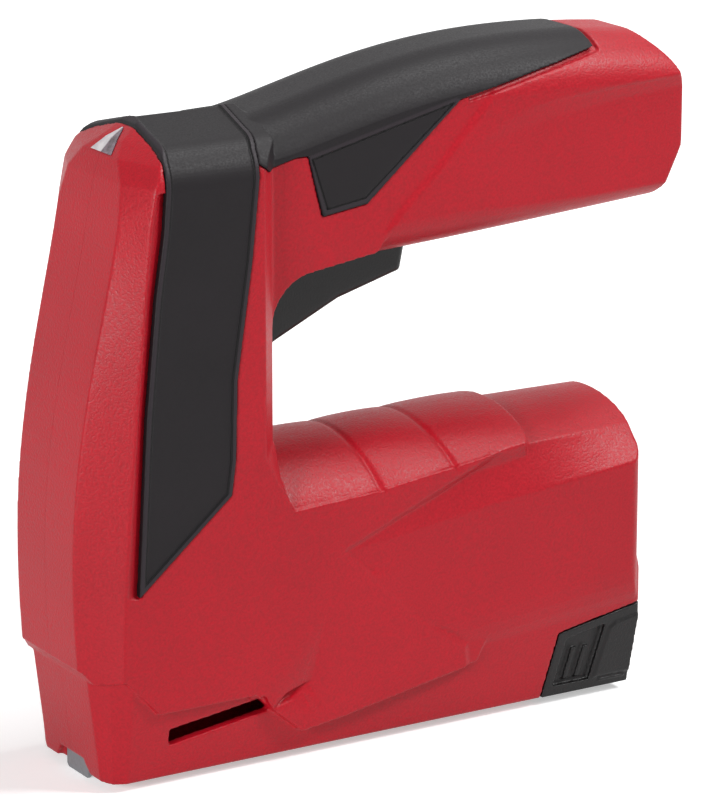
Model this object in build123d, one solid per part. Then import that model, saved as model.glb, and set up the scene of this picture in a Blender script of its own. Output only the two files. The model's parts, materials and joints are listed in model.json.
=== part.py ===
from build123d import *
from functools import cache
import math
import os

os.makedirs("parts", exist_ok=True)

# Cordless tacker. X runs rearward from the staple exit, Y across, Z up; millimetres.
# The origin is the staple exit, on the plane of the base.

# ---- Casing wall, seam and general fits -------------------------------------------------
WALL = 2.8                     # moulded wall of the two casing halves
SEAM = 0.06                    # hairline gap between the halves on the middle plane
REST_GAP = 0.3                 # loose gap round pieces that the casing holds
SLIDE_GAP = 0.15               # gap on each side of a sliding piece
BORE_GAP = 0.05                # radial clearance of a turning shaft
FAR = 300.0                    # reach of cutting and trimming solids

# ---- Staples ----------------------------------------------------------------------------
STAPLE_WIDTH = 11.4            # over the legs
STAPLE_LEG = 14.0              # longest leg
STAPLE_WIRE = 0.75

# ---- Front column -----------------------------------------------------------------------
COLUMN_HALF = 23.6             # half-width over the flat sides
COLUMN_REAR = 43.2             # rear face of the column
REAR_BEVEL = 4.6               # bevel on the column's two rear edges
ARCH_ROUND = 11.0              # rounding from the sides to the crowned top
ARCH_SHOULDER = 157.0          # height where the crown would meet the flat sides
ARCH_TOP = 163.0               # ridge of the crowned top
# height, front x, half-width of the front facet, x where the corner facet meets the side
COLUMN_STATIONS = [
    (18.0, -9.2, 15.0, -1.8),
    (50.0, -10.9, 15.0, -1.0),
    (76.0, -9.7, 15.2, 1.0),
    (104.0, -5.2, 15.6, 3.6),
    (142.0, 2.8, 15.6, 7.2),
]
BROW_STATIONS = COLUMN_STATIONS[-1:] + [
    (150.0, 4.5, 13.6, 8.8),
    (155.0, 6.2, 9.0, 11.6),
    (158.5, 9.6, 5.0, 15.6),
    (166.0, 20.0, 2.0, 26.0),
]
# lower edge of the wide upper body, from the overhang above the nose to the rear panel
SKIRT = [(-9.4, 29.8), (-7.0, 26.6), (-1.2, 27.8), (12.2, 13.6), (38.0, 17.4), (40.3, 13.3),
         (48.8, 6.1), (60.6, 7.7), (101.4, 15.0), (106.0, 24.0), (107.0, 36.0)]

# ---- Handle -----------------------------------------------------------------------------
# x, top z, bottom z, half-width
HANDLE_STATIONS = [
    (20.0, 160.4, 123.0, 20.5),
    (46.0, 161.9, 123.2, 19.9),
    (76.0, 169.2, 124.0, 19.7),
    (106.0, 173.6, 125.6, 19.7),
    (136.0, 173.9, 127.6, 19.8),
    (172.0, 170.0, 130.0, 19.6),
]
HANDLE_TOP_ROUND = 14.5
# sloped step along the barrel: half-width at its start, how much that falls per mm rearward, side outline
STEP_START = 97.0
STEP_ROOT = (19.7, 0.027, [(97.0, 147.2), (101.7, 148.7), (113.6, 152.0), (128.7, 154.9), (147.1, 156.9),
                           (163.3, 158.0), (180.0, 159.0), (180.0, 100.0), (97.0, 100.0)])
STEP_FACE = (19.85, 0.013, [(97.0, 151.8), (104.6, 154.2), (113.5, 156.6), (128.6, 159.1), (147.0, 160.5),
                            (161.0, 161.1), (180.0, 162.0), (180.0, 100.0), (97.0, 100.0)])
HANDLE_LOW_ROUND = 9.5
HANDLE_END = [(150.0, 178.0), (172.6, 155.5), (157.0, 124.0)]
HANDLE_END_ROUND = 23.0
END_ROUND = 6.0                # rounding of the handle's end in plan
NECK_HALF = 18.9               # half-width of the web behind the column, above the hand gap
NECK_ROUND = 13.0              # inner corner where the fingers go
NECK_UNDER = 121.4             # underside of the web at the column
NECK_RISE = 0.14               # rearward rise of the underside per mm
# edge where the barrel of the handle stands proud of the web, from the top down
BARREL_EDGE = [(114.0, 168.0), (100.3, 153.8), (91.6, 144.6), (80.5, 134.5), (74.1, 126.4), (66.0, 112.0)]
BARREL_FACET = 1.0             # the edge is a facet this wide in X and in Z

# ---- Lower housing ----------------------------------------------------------------------
CORE_HALF = 22.8               # half-width of the plain core under the side plate and the panel
CORE_SHOULDER = 51.0
CORE_CREASE = (17.0, 69.0)     # (distance from the middle, height) where its dome starts
LOWER_TOP = 73.6
LOWER_END = 151.4              # rear face
LOWER_END_ROUND = 14.0         # rounding from the top to the rear face
REAR_CORNER_ROUND = 4.0        # rounding of the upright rear edges
BASE_HALF = 19.6               # half-width at the base plane
BASE_FLARE = 0.13              # outward lean of the base belt per mm of height
BELT_STEP = 0.3                # the belt never comes nearer than this to the wide side
BASE_TOP = 44.0                # the belt runs up inside the wide body to here
BASE_END = 153.2               # rear face of the belt
BASE_END_LEAN = 2.6            # the rear face leans in this much at the base plane
NOSE_FRONT = -4.0              # front of the nose on the base plane
NOSE_LEAN = 0.123              # forward lean of the nose per mm of height
NOSE_FLAT_HALF = 14.4
NOSE_CORNER_X = 0.8            # where the nose's rounded corners meet the sides

# ---- Raised rear panel with its pointed front -------------------------------------------
# x, half-width, top of the flat side, half-width and height of the crease with the domed top,
# bottom of the flat side, half-width and height where the rounded underside ends
PANEL_STATIONS = [
    (60.0, 22.9, 50.6, 21.0, 66.5, 24.0, 21.8, 15.6),
    (113.0, 24.0, 57.8, 20.6, 70.2, 29.0, 22.3, 20.0),
    (152.0, 24.8, 62.3, 17.2, 70.2, 33.0, 22.7, 23.4),
]
PANEL_DOME = 6.6               # rise of the domed top above the crease
PANEL_OUTLINE = [(63.7, 51.0), (112.4, 71.4), (115.0, 84.0), (151.4, 84.0), (151.4, 58.0),
                 (150.4, 22.6), (104.5, 19.4), (97.5, 21.9), (84.2, 30.8)]

# ---- Flat side plate between the column and the panel -----------------------------------
PLATE_OUTLINE = [(36.0, 0.0), (101.4, 0.0), (99.2, 20.6), (84.2, 30.8), (63.7, 51.0), (111.0, 70.7),
                 (91.4, 68.4), (69.6, 65.7), (47.2, 64.4), (36.0, 63.0)]
PLATE_FACE = [(36.0, 0.0), (98.6, 0.0), (97.0, 19.7), (82.7, 29.4), (60.6, 51.6), (105.0, 70.0),
              (91.4, 68.2), (69.6, 65.5), (47.2, 64.2), (36.0, 63.0)]
PLATE_CHAMFER = 1.1            # depth of the chamfer round the panel's point
# corner gusset between the column and the first pad: root nearer the middle, face on the side
GUSSET_ROOT = [(33.0, 62.0), (33.0, 79.6), (43.6, 81.4), (46.9, 63.8)]
GUSSET_FACE = [(33.0, 62.0), (33.0, 78.4), (38.3, 79.4), (46.9, 63.8)]
GUSSET_DEPTH = 4.6

# ---- Finger ridge: crowned pads ---------------------------------------------------------
# x of each pad's end, lower edge, top
RIDGE_STATIONS = [(42.0, 64.5, 77.5), (69.4, 65.8, 77.9), (91.4, 68.5, 78.3), (117.6, 71.2, 78.5)]
RIDGE_HALF = 22.5
RIDGE_EDGE = 1.0               # rounding along the pads' lower edge
RIDGE_END_ROUND = 4.6          # rounding of the last pad's rear corners in plan
RIDGE_CROWN = 0.45             # how far each pad swells above the valleys

# ---- Rubber grips -----------------------------------------------------------------------
GRIP_RECESS = 1.5              # depth of the recess in the casing
GRIP_PROUD = 0.45              # how far the rubber stands above the casing
BEAD = 1.4                     # width of the raised border
BEAD_DROP = 0.4                # field below the border
GROOVE = 0.5                   # width and depth of the moulded groove lines
BAND_OUTLINE = [(2.6, 49.0), (5.3, 93.9), (8.2, 123.1), (10.6, 139.0), (11.4, 149.0), (11.9, 156.0),
                (15.4, 166.5), (42.3, 166.5), (37.6, 156.0), (37.0, 149.6), (34.9, 129.7),
                (30.5, 100.3), (29.9, 80.0), (28.7, 71.2)]
GRIP_OUTLINE = [(41.4, 150.2), (49.9, 152.4), (53.6, 152.4), (57.6, 136.8), (70.3, 138.6), (97.5, 161.9),
                (120.8, 166.7), (139.9, 170.4), (138.6, 182.0), (42.3, 182.0), (42.3, 166.5),
                (37.6, 156.0), (37.4, 153.0)]
GRIP_PANEL = [(54.2, 151.6), (58.6, 138.3), (69.7, 139.9), (96.2, 161.6)]
GRIP_RIM = 1.5                 # width and depth of the sunk rim round the rear of the rubber
GRIP_RIM_START = 100.0
GRIP_RIM_DEPTH = 0.8
# strip of the casing in front of the strap, sloping down to the rubber: outer and inner edge
SLOPE_OUTER = [(-1.0, 49.0), (2.6, 93.9), (5.3, 123.1), (6.8, 139.0), (8.6, 149.0)]
SLOPE_DEPTH = 1.4

# ---- Staple window in the side ----------------------------------------------------------
WINDOW = [(11.8, 12.6), (11.9, 8.4), (40.7, 12.7), (37.3, 16.3)]

# ---- Magazine ---------------------------------------------------------------------------
CHANNEL_SHEET = 1.0            # steel of the fixed channel
CHANNEL_GAP = 0.2              # room round the staples
CHANNEL_BOTTOM = 0.6           # the channel stops short of the base plane
CHANNEL_END = 118.0
RAIL_SHEET = 0.8               # steel of the sliding rail
RAIL_BOTTOM = 2.2
RAIL_START = 1.2
RAIL_HOLD = 14.0               # length of rail held in the cap
PUSHER_LENGTH = 20.0
PUSHER_START = 1.4
ROD_R = 1.3
PUSHER_SPRING_WIRE = 0.5
PUSHER_SPRING_R = 2.6          # centreline radius
PUSHER_SPRING_TURNS = 24

# ---- Magazine cap -----------------------------------------------------------------------
CAP_OUTLINE = [(123.3, -1.0), (127.6, 17.5), (160.0, 23.7), (160.0, -1.0)]
CAP_GAP = 0.35
CAP_WALL = 1.8
CAP_RECESS = [(126.8, 2.6), (130.0, 15.6), (142.0, 17.9), (138.2, 2.6)]
CAP_GRIP_DEPTH = 1.3           # depth of the finger recess in each side
CAP_RIBS = 2
CAP_RIB = 1.3
CAP_RIB_PITCH = 3.7
CAP_RIB_DROP = 0.3             # the ribs stay this far below the cap's side

# ---- Driver, hammer and lifter ----------------------------------------------------------
BLADE_SHEET = 0.9
BLADE_GAP = 0.1
BLADE_TIP = 0.2                # tip above the base plane at rest
LIFT = 16.0                    # travel of the hammer
MODULE = 1.25
WHEEL_TEETH = 16
WHEEL_THICK = 5.0
WHEEL_X = 13.5                 # front face of the lifter wheel
SHAFT_R = 4.0
SHAFT_FLAT = 0.6
CLIP_STEP = 1.0
CLIP_THICK = 1.0
HAMMER_THICK = 6.0
HAMMER_HALF = 18.2
LEG_GAP = 1.0                  # air between the wheel's teeth and the plain leg
GUIDE_DEPTH = 0.8              # the legs run this deep in the frame's grooves
RIVET_R = 1.6
RIVET_HEAD = 0.9
SPIGOT = 4.0                   # stub inside each end of the main spring
HAMMER_FOOT = 26.5             # underside of the two legs at rest
BRIDGE_LOW = 62.6
BRIDGE_HIGH = 72.0
BRIDGE_HALF = 12.0
MAIN_SPRING_WIRE = 1.8
MAIN_SPRING_R = 7.0            # centreline radius
MAIN_SPRING_TURNS = 7
SPRING_X = 12.0
FRAME_TOP = 112.0
FRAME_PLATE = 4.0
FRAME_HALF = 20.3
FRAME_FOOT_HALF = 17.2         # half-width below the casing's wide part
FRAME_TONGUE_HALF = 13.0       # half-width of the tongue over the main spring
CHEEK_LOW = 24.0
SEAT_THICK = 3.0
BUMPER_PLATE = 20.5            # shelf that the bumpers stand on

# ---- Motor and gearbox ------------------------------------------------------------------
DRIVE_Z = 50.0                 # height of the motor, gearbox and lifter axis
GEARBOX_R = 15.0
GEARBOX_START = 57.0
GEARBOX_LENGTH = 26.0
MOTOR_R = 13.8
MOTOR_LENGTH = 38.0
MOTOR_CAP_LENGTH = 3.0
BEARING_R = 7.0
COLLAR = 6.0                   # length of the gearbox's front collar

# ---- Nose -------------------------------------------------------------------------------
NOSE_PLATE_WALL = 1.2          # steel in front of the blade
NOSE_PLATE_HALF = 12.0
NOSE_PLATE_DROP = 0.4          # the plate stands this far below the base
NOSE_PLATE_TOP = 34.0
CONTACT_SHEET = 0.9
CONTACT_HALF = 5.8
CONTACT_DROP = 2.3             # travel of the nose contact, and how far it stands out
CONTACT_SHOULDER = 8.0
CONTACT_TAB_Z = 36.0
CONTACT_TAB = 3.6              # how far the tab reaches forward
CONTACT_TAB_HALF = 6.5
CONTACT_STEM_HALF = 3.0
CONTACT_SPRING_X = -4.6
CONTACT_SPRING_Y = 3.6
CONTACT_SPRING_R = 1.3
CONTACT_SPRING_WIRE = 0.4
CONTACT_SPRING_TOP = 49.6
PLUNGER_R = 0.9
PLUNGER_LENGTH = 6.0
NOSE_SCREW_R = 1.2
NOSE_SCREW_Y = 9.0
NOSE_SCREW_Z = 27.0
NOSE_SCREW_LENGTH = 6.0
NOSE_SCREW_HEAD = 1.3
NOTCH_TOP = 3.4
NOTCH_HALF = 6.0
NOTCH_SPREAD = 2.5

# ---- Trigger ----------------------------------------------------------------------------
TRIGGER_HALF = 8.0
TRIGGER_TOP = 127.8
TRIGGER_OUTLINE = [(40.0, 96.5), (50.8, 103.4), (69.1, 112.0), (87.4, 117.1), (88.4, 122.0),
                   (88.4, TRIGGER_TOP), (50.0, TRIGGER_TOP), (42.0, 118.0)]
TRIGGER_ROUND = 2.0
TRIGGER_WALL = 1.8
TRIGGER_PIVOT = (80.0, 131.4)
PIVOT_BOSS_R = 4.0
PIN_R = 1.5
HORN_X = 82.0                  # rear face of the trigger's horn, above its pivot
HORN_TOP = 139.8
HORN_HALF = 2.2
BUTTON_Z = 137.6
BUTTON_AIR = 0.1
BUTTON_R = 1.4
BUTTON_LENGTH = 7.0
BUTTON_DEPTH = 3.4             # length of the button inside the switch
BUTTON_TRAVEL = 0.8
SWITCH_SIZE = (11.0, 6.4, 6.6)
TRIGGER_SPRING_X = 53.0
TRIGGER_SPRING_R = 2.4
TRIGGER_SPRING_LOW = 122.0
TRIGGER_SPRING_HIGH = 137.0
RIB = 2.0                      # thickness of inner ribs and seats

# ---- Power ------------------------------------------------------------------------------
CELL_R = 9.2
CELL_LENGTH = 65.0
CELL_START = 78.0
CELL_Z = 150.5
SOCKET_R = 2.75
SOCKET_OUT = 4.4
SOCKET_DEPTH = 9.0
SOCKET_FLOOR = 2.0
SOCKET_INSET = 1.0             # the socket's mouth lies this far inside the end face
SOCKET_Z = 148.0
BOARD_X = (9.5, 37.0)
BOARD_Z = 145.5
BOARD_HALF = 13.5
BOARD_THICK = 1.6
BOARD_SCREW_R = 1.0
LED_R = 1.5
LED_X = 11.5
LED_TOP = 153.0
LENS_OUTLINE = [(3.0, -8.0), (12.6, -0.3), (12.6, 0.3), (3.0, 8.0)]
LENS_LOW = 155.4               # lower edge of the lens
LENS_PROUD = 0.15

# ---- Screws -----------------------------------------------------------------------------
SCREW_R = 1.5
SCREW_HEAD_R = 2.9
SCREW_HEAD = 2.2
SCREW_SEAT = 8.0               # distance of the heads from the middle plane
SCREW_REACH = 10.0             # depth of the thread in the left half
BOSS_R = 3.6
SCREW_PLACES = [(34.5, 70.0), (45.0, 143.0), (104.0, 134.0), (151.5, 137.0), (139.0, 60.0),
                (110.0, 27.0), (32.0, 26.0)]


# ======================= Shape helpers ===================================================

def polygon(points):
    """Closed flat face through the points."""
    return make_face(Polyline(*points, close=True))


def rounded(face, corners):
    """Rounds the face's corners nearest the given points."""
    for point, radius in corners:
        corner = min(face.vertices(), key=lambda v: (v.X - point[0]) ** 2 + (v.Y - point[1]) ** 2)
        face = fillet(corner, radius)
    return face


def grown(face, grow):
    """The flat face with its outline moved outward by grow."""
    return offset(face, amount=grow, kind=Kind.INTERSECTION) if grow else face


def across(face, half_width):
    """Side-view face (X, Z) extruded to both sides of the middle plane."""
    return extrude(Plane.XZ.offset(-half_width) * face, amount=2 * half_width)


def along(face, start, end):
    """Front-view face (Y, Z) extruded from x = start to x = end."""
    return extrude(Plane.YZ.offset(start) * face, amount=end - start)


def upward(face, start, end):
    """Plan-view face (X, Y) extruded between two heights."""
    return extrude(Plane.XY.offset(start) * face, amount=end - start)


def mirrored(points):
    """Half-outline of (y, z) points completed by its mirror image."""
    return points + [(-y, z) for y, z in reversed(points) if y]


def sloped(root, level_in, face, level_out):
    """Plate on each side whose side view goes from root to face between two distances from the middle."""
    levels = [Plane.XZ.offset(-level_in) * polygon(root), Plane.XZ.offset(-level_out) * polygon(face)]
    plate = loft(levels, ruled=True)
    return plate + mirror(plate, Plane.XZ)


def shifted(points, x, z):
    return [(point[0] + x, point[1] + z) for point in points]


def block(x, y, z):
    """Box between the given (low, high) pairs."""
    size = [high - low for low, high in (x, y, z)]
    middle = [(high + low) / 2 for low, high in (x, y, z)]
    return Pos(*middle) * Box(*size)


def both_sides(x, y, z):
    """The box and its mirror image across the middle plane."""
    return block(x, y, z) + block(x, (-y[1], -y[0]), z)


def bar_x(radius, start, end, y, z):
    """Cylinder along X."""
    return Plane.YZ.offset(start) * Pos(y, z) * extrude(Circle(radius), amount=end - start)


def bar_y(radius, start, end, x, z):
    """Cylinder along Y."""
    return Plane.XZ.offset(-end) * Pos(x, z) * extrude(Circle(radius), amount=end - start)


def bar_z(radius, start, end, x, y):
    """Cylinder along Z."""
    return Pos(x, y, start) * extrude(Circle(radius), amount=end - start)


def coil(radius, wire, length, turns):
    """Helical spring standing on the origin, its wire wholly inside the length."""
    path = Helix(pitch=(length - wire) / turns, height=length - wire, radius=radius)
    section = Plane(origin=path @ 0, z_dir=path % 0) * Circle(wire / 2)
    return Pos(0, 0, wire / 2) * sweep(section, path=path, is_frenet=True)


# ======================= Outer form of the casing ========================================

def arch(grow):
    """Front view of the column: flat sides under a crowned top."""
    corner = (COLUMN_HALF, ARCH_SHOULDER)
    face = polygon(mirrored([(COLUMN_HALF, -20), corner, (0, ARCH_TOP)]))
    face = rounded(face, [(corner, ARCH_ROUND), ((-corner[0], corner[1]), ARCH_ROUND)])
    return grown(face, grow)


def column_sections(stations, grow):
    side, rear = COLUMN_HALF, COLUMN_REAR
    for z, front, flat, corner in stations:
        outline = [(front, flat), (corner, side), (rear - REAR_BEVEL, side), (rear, side - REAR_BEVEL)]
        yield Plane.XY.offset(z) * grown(polygon(mirrored_plan(outline)), grow)


def mirrored_plan(points):
    """Half-outline of (x, y) points completed by its mirror image."""
    return points + [(x, -y) for x, y in reversed(points)]


def above_skirt(grow):
    """Everything above the lower edge of the wide upper body."""
    low, high = SKIRT[0], SKIRT[-1]
    edge = [(-FAR, low[1])] + SKIRT + [(FAR, high[1]), (FAR, FAR), (-FAR, FAR)]
    return across(grown(polygon(edge), grow), FAR)


@cache
def column_form(grow):
    front = loft(list(column_sections(COLUMN_STATIONS, grow)))
    brow = loft(list(column_sections(BROW_STATIONS, grow)), ruled=True)
    return (front + brow) & along(arch(grow), -FAR, FAR) & above_skirt(grow)


def handle_sections(grow):
    for x, top, bottom, half in HANDLE_STATIONS:
        face = polygon([(half, bottom), (half, top), (-half, top), (-half, bottom)])
        face = rounded(face, [((half, top), HANDLE_TOP_ROUND), ((-half, top), HANDLE_TOP_ROUND),
                              ((half, bottom), HANDLE_LOW_ROUND), ((-half, bottom), HANDLE_LOW_ROUND)])
        yield Plane.YZ.offset(x) * grown(face, grow)


def handle_outline():
    """Side outline of the handle's swelling rear end."""
    first, last = HANDLE_END[0], HANDLE_END[-1]
    outline = polygon([(0, first[1])] + HANDLE_END + [(0, last[1])])
    return rounded(outline, [(HANDLE_END[1], HANDLE_END_ROUND)])


def step_face(half, fall, outline, grow):
    """Side-view face of the barrel's recess on a plane that nears the middle rearward."""
    angle = math.atan(fall)
    plane = Plane(origin=(STEP_START, half + grow, 0), x_dir=(math.cos(angle), -math.sin(angle), 0),
                  z_dir=(-math.sin(angle), -math.cos(angle), 0))
    return plane * polygon(shifted(outline, -STEP_START, 0))


def barrel_recess(grow):
    """Room beside the barrel, below the sloped step in its skin."""
    face = step_face(*STEP_FACE, grow)
    room = loft([step_face(*STEP_ROOT, grow), face], ruled=True) + extrude(face, amount=-5)
    return room + mirror(room, Plane.XZ)


def handle_form(grow):
    """Barrel of the handle, closed by a swelling rear end."""
    end = across(grown(handle_outline(), grow), FAR)
    back, half = handle_outline().bounding_box().max.X, HANDLE_STATIONS[-1][3]
    plan = rounded(polygon([(0, half), (back, half), (back, -half), (0, -half)]),
                   [((back, half), END_ROUND), ((back, -half), END_ROUND)])
    barrel = loft(list(handle_sections(grow))) & end & upward(grown(plan, grow), 0, FAR)
    front = [(0, BARREL_EDGE[-1][1]), (0, BARREL_EDGE[0][1])]
    web, depth = NECK_HALF + grow, 3.0
    root, face = shifted(BARREL_EDGE, -BARREL_FACET, BARREL_FACET), shifted(BARREL_EDGE, depth - 1, 1 - depth)
    return barrel - sloped(front + root, web, front + face, web + depth) - barrel_recess(grow)


def neck_form(grow):
    """Web that fills the corner behind the column, under the handle."""
    corner, reach = (COLUMN_REAR, NECK_UNDER), 80.0
    gap = rounded(polygon([(corner[0], 60), corner, (corner[0] + reach, corner[1] + NECK_RISE * reach),
                           (corner[0] + reach, 60)]), [(corner, NECK_ROUND)])
    web = polygon([(20, 90), (20, 140), (86, 140)] + BARREL_EDGE[3:] + [(60, 90)]) - gap
    return across(grown(web, grow), NECK_HALF + grow) - across(grown(gap, -grow), FAR)


@cache
def top_form(grow):
    """Column, web and handle, without the lower housing."""
    return column_form(grow) + neck_form(grow) + handle_form(grow)


def rear_corners(end, half, grow):
    """Everything inside the rounded upright rear edges."""
    plan = rounded(polygon([(-50, half), (end, half), (end, -half), (-50, -half)]),
                   [((end, half), REAR_CORNER_ROUND), ((end, -half), REAR_CORNER_ROUND)])
    return upward(grown(plan, grow), -50, FAR)


def domed_section(points, rise):
    """Front-view face through the half-outline, from the lowest point up to the crease, under a domed top."""
    crease = points[-1]
    lines = Polyline(*[(-y, z) for y, z in reversed(points)], *points)
    dome = ThreePointArc(crease, (0, crease[1] + rise), (-crease[0], crease[1]))
    return make_face(lines.edges() + dome.edges())


def core_form(grow):
    """Plain core of the lower housing, under the side plate and the panel."""
    sides = [(CORE_HALF, 0), (CORE_HALF, CORE_SHOULDER), CORE_CREASE]
    section = domed_section(sides, LOWER_TOP - CORE_CREASE[1])
    start = COLUMN_REAR - 2 * REAR_BEVEL
    return along(grown(section, grow), start, LOWER_END - LOWER_END_ROUND) & above_skirt(grow)


def side_plate():
    """Flat sides between the column and the panel, with the gussets that join them to the column."""
    plate = across(polygon(PLATE_OUTLINE), COLUMN_HALF - PLATE_CHAMFER)
    plate += sloped(PLATE_OUTLINE, COLUMN_HALF - PLATE_CHAMFER, PLATE_FACE, COLUMN_HALF)
    root = COLUMN_HALF - GUSSET_DEPTH
    gusset = across(polygon(GUSSET_ROOT), root) + sloped(GUSSET_ROOT, root, GUSSET_FACE, COLUMN_HALF)
    return (plate & above_skirt(0)) + gusset


def panel_form(grow):
    """Raised rear panel, bevelled up to a domed top, rounded under below and pointed at its front."""
    sections = []
    for x, half, shoulder, crease_half, crease, low, under_half, under in PANEL_STATIONS:
        turn, drop = half - under_half, low - under
        points = [(under_half, 0), (under_half, under), (half - 0.5 * turn, under + 0.28 * drop),
                  (half - 0.13 * turn, under + 0.62 * drop), (half, low), (half, shoulder),
                  (crease_half, crease)]
        sections.append(Plane.YZ.offset(x) * grown(domed_section(points, PANEL_DOME), grow))
    outline = rounded(polygon(PANEL_OUTLINE), [(PANEL_OUTLINE[3], LOWER_END_ROUND)])
    return (loft(sections, ruled=True) & across(grown(outline, grow), FAR)
            & rear_corners(LOWER_END, PANEL_STATIONS[-1][1], grow))


def ridge_section(swell, low, top):
    half = RIDGE_HALF + swell
    face = domed_section([(half - 4, low - 12), (half - 0.6, low - 1.6), (half, low)], top + swell - low)
    return rounded(face, [((half, low), RIDGE_EDGE), ((-half, low), RIDGE_EDGE)])


def ridge_form():
    """Crowned finger pads in a row."""
    ridge = None
    for front, rear in zip(RIDGE_STATIONS, RIDGE_STATIONS[1:]):
        middle = tuple((a + b) / 2 for a, b in zip(front, rear))
        sections = [Plane.YZ.offset(x) * ridge_section(swell, low, top)
                    for (x, low, top), swell in ((front, 0.0), (middle, RIDGE_CROWN), (rear, 0.0))]
        pad = loft(sections)
        ridge = pad if ridge is None else ridge + pad
    end, wide = RIDGE_STATIONS[-1][0], RIDGE_HALF + 1
    plan = rounded(polygon([(0, wide), (end, wide), (end, -wide), (0, -wide)]),
                   [((end, wide), RIDGE_END_ROUND), ((end, -wide), RIDGE_END_ROUND)])
    (top_x, top_z), (foot_x, foot_z) = GUSSET_ROOT[2:]
    front = polygon([(top_x, FAR), (top_x, top_z), (foot_x, foot_z), (foot_x, 0), (FAR, 0), (FAR, FAR)])
    return ridge & upward(plan, 0, FAR) & across(front, FAR)


def base_sections(grow):
    for z in (0.0, (COLUMN_HALF - BELT_STEP - BASE_HALF) / BASE_FLARE, BASE_TOP):
        front, half = NOSE_FRONT - NOSE_LEAN * z, min(BASE_HALF + BASE_FLARE * z, COLUMN_HALF - BELT_STEP)
        swell = 0.2 * (1 - z / BASE_TOP)
        depth, width = NOSE_CORNER_X - front, half - NOSE_FLAT_HALF
        middle = (front + depth * (0.5 - swell), half - width * (0.5 - swell))
        outline = [(front, NOSE_FLAT_HALF), middle, (NOSE_CORNER_X, half), (BASE_END, half)]
        yield z, grown(polygon(mirrored_plan(outline)), grow)


@cache
def base_form(grow):
    """Narrow belt from the nose to the rear, leaning outward with height."""
    sections = [Plane.XY.offset(z) * face for z, face in base_sections(grow)]
    belt = loft(sections, ruled=True) & rear_corners(BASE_END, COLUMN_HALF - BELT_STEP, grow)
    trim = polygon([(-50, 0), (-50, BASE_TOP), (LOWER_END - 4, BASE_TOP), (BASE_END, 30.0),
                    (BASE_END - BASE_END_LEAN, 0)])
    return belt & across(grown(trim, grow), FAR)


@cache
def body_form(grow):
    return top_form(grow) + core_form(grow) + panel_form(grow) + base_form(grow)


def casing_outside():
    return body_form(0) + side_plate() + ridge_form()


# ======================= Places worked out from the sizes ================================

WHEEL_R = MODULE * WHEEL_TEETH / 2
TOOTH_TOP = 0.8 * MODULE
TOOTH_ROOT = 1.08 * MODULE
PRESSURE = 25.0                # pressure angle in degrees
BACKLASH = 0.12
RACK_Y = -WHEEL_R              # pitch line of the rack

LEG_TOP = CHANNEL_BOTTOM + 0.3 + STAPLE_LEG          # crown of the staples in the channel
CHANNEL_ROOF = LEG_TOP + CHANNEL_GAP
CHANNEL_TOP = CHANNEL_ROOF + CHANNEL_SHEET
CHANNEL_IN = STAPLE_WIDTH / 2 + CHANNEL_GAP
CHANNEL_OUT = CHANNEL_IN + CHANNEL_SHEET
RAIL_TOP = LEG_TOP - STAPLE_WIRE - SLIDE_GAP
RAIL_OUT = STAPLE_WIDTH / 2 - STAPLE_WIRE - CHANNEL_GAP
ROD_Z = (RAIL_BOTTOM + RAIL_TOP) / 2

BLADE_HALF = STAPLE_WIDTH / 2 - BLADE_GAP
BLADE_BACK = BLADE_SHEET / 2
PLATE_BACK = BLADE_BACK + BLADE_GAP
PLATE_FRONT = -BLADE_BACK - BLADE_GAP - NOSE_PLATE_WALL
CONTACT_BACK = PLATE_FRONT - BLADE_GAP
CONTACT_FRONT = CONTACT_BACK - CONTACT_SHEET

GEARBOX_END = GEARBOX_START + GEARBOX_LENGTH
MOTOR_END = GEARBOX_END + MOTOR_LENGTH
HAMMER_X = (WHEEL_X + WHEEL_THICK / 2 - HAMMER_THICK / 2, WHEEL_X + WHEEL_THICK / 2 + HAMMER_THICK / 2)
FRAME_BACK = (HAMMER_X[1] + 3.5, HAMMER_X[1] + 3.5 + FRAME_PLATE)
SEAT_LOW = FRAME_TOP - SEAT_THICK
SWITCH_FRONT = HORN_X + BUTTON_AIR + BUTTON_LENGTH - BUTTON_DEPTH
SOCKET_MOUTH = handle_outline().bounding_box().max.X - SOCKET_INSET
CAP_FRONT = min(x for x, z in CAP_OUTLINE)
RAIL_END = CAP_FRONT + RAIL_HOLD


# ======================= Driver, hammer and lifter =======================================

def driver_blade():
    """Flat blade that pushes one staple out; its upper end is held on the hammer."""
    return block((-BLADE_BACK, BLADE_BACK), (-BLADE_HALF, BLADE_HALF), (BLADE_TIP, BRIDGE_HIGH))


def rack_tooth(z):
    """One tooth of the hammer's rack, pointing towards the lifter wheel."""
    slope = math.tan(math.radians(PRESSURE))
    half = math.pi * MODULE / 4 - BACKLASH / 2
    foot, tip = half + slope * TOOTH_ROOT, half - slope * TOOTH_TOP
    return polygon([(RACK_Y - TOOTH_ROOT, z - foot), (RACK_Y + TOOTH_TOP, z - tip),
                    (RACK_Y + TOOTH_TOP, z + tip), (RACK_Y - TOOTH_ROOT, z + foot)])


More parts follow.
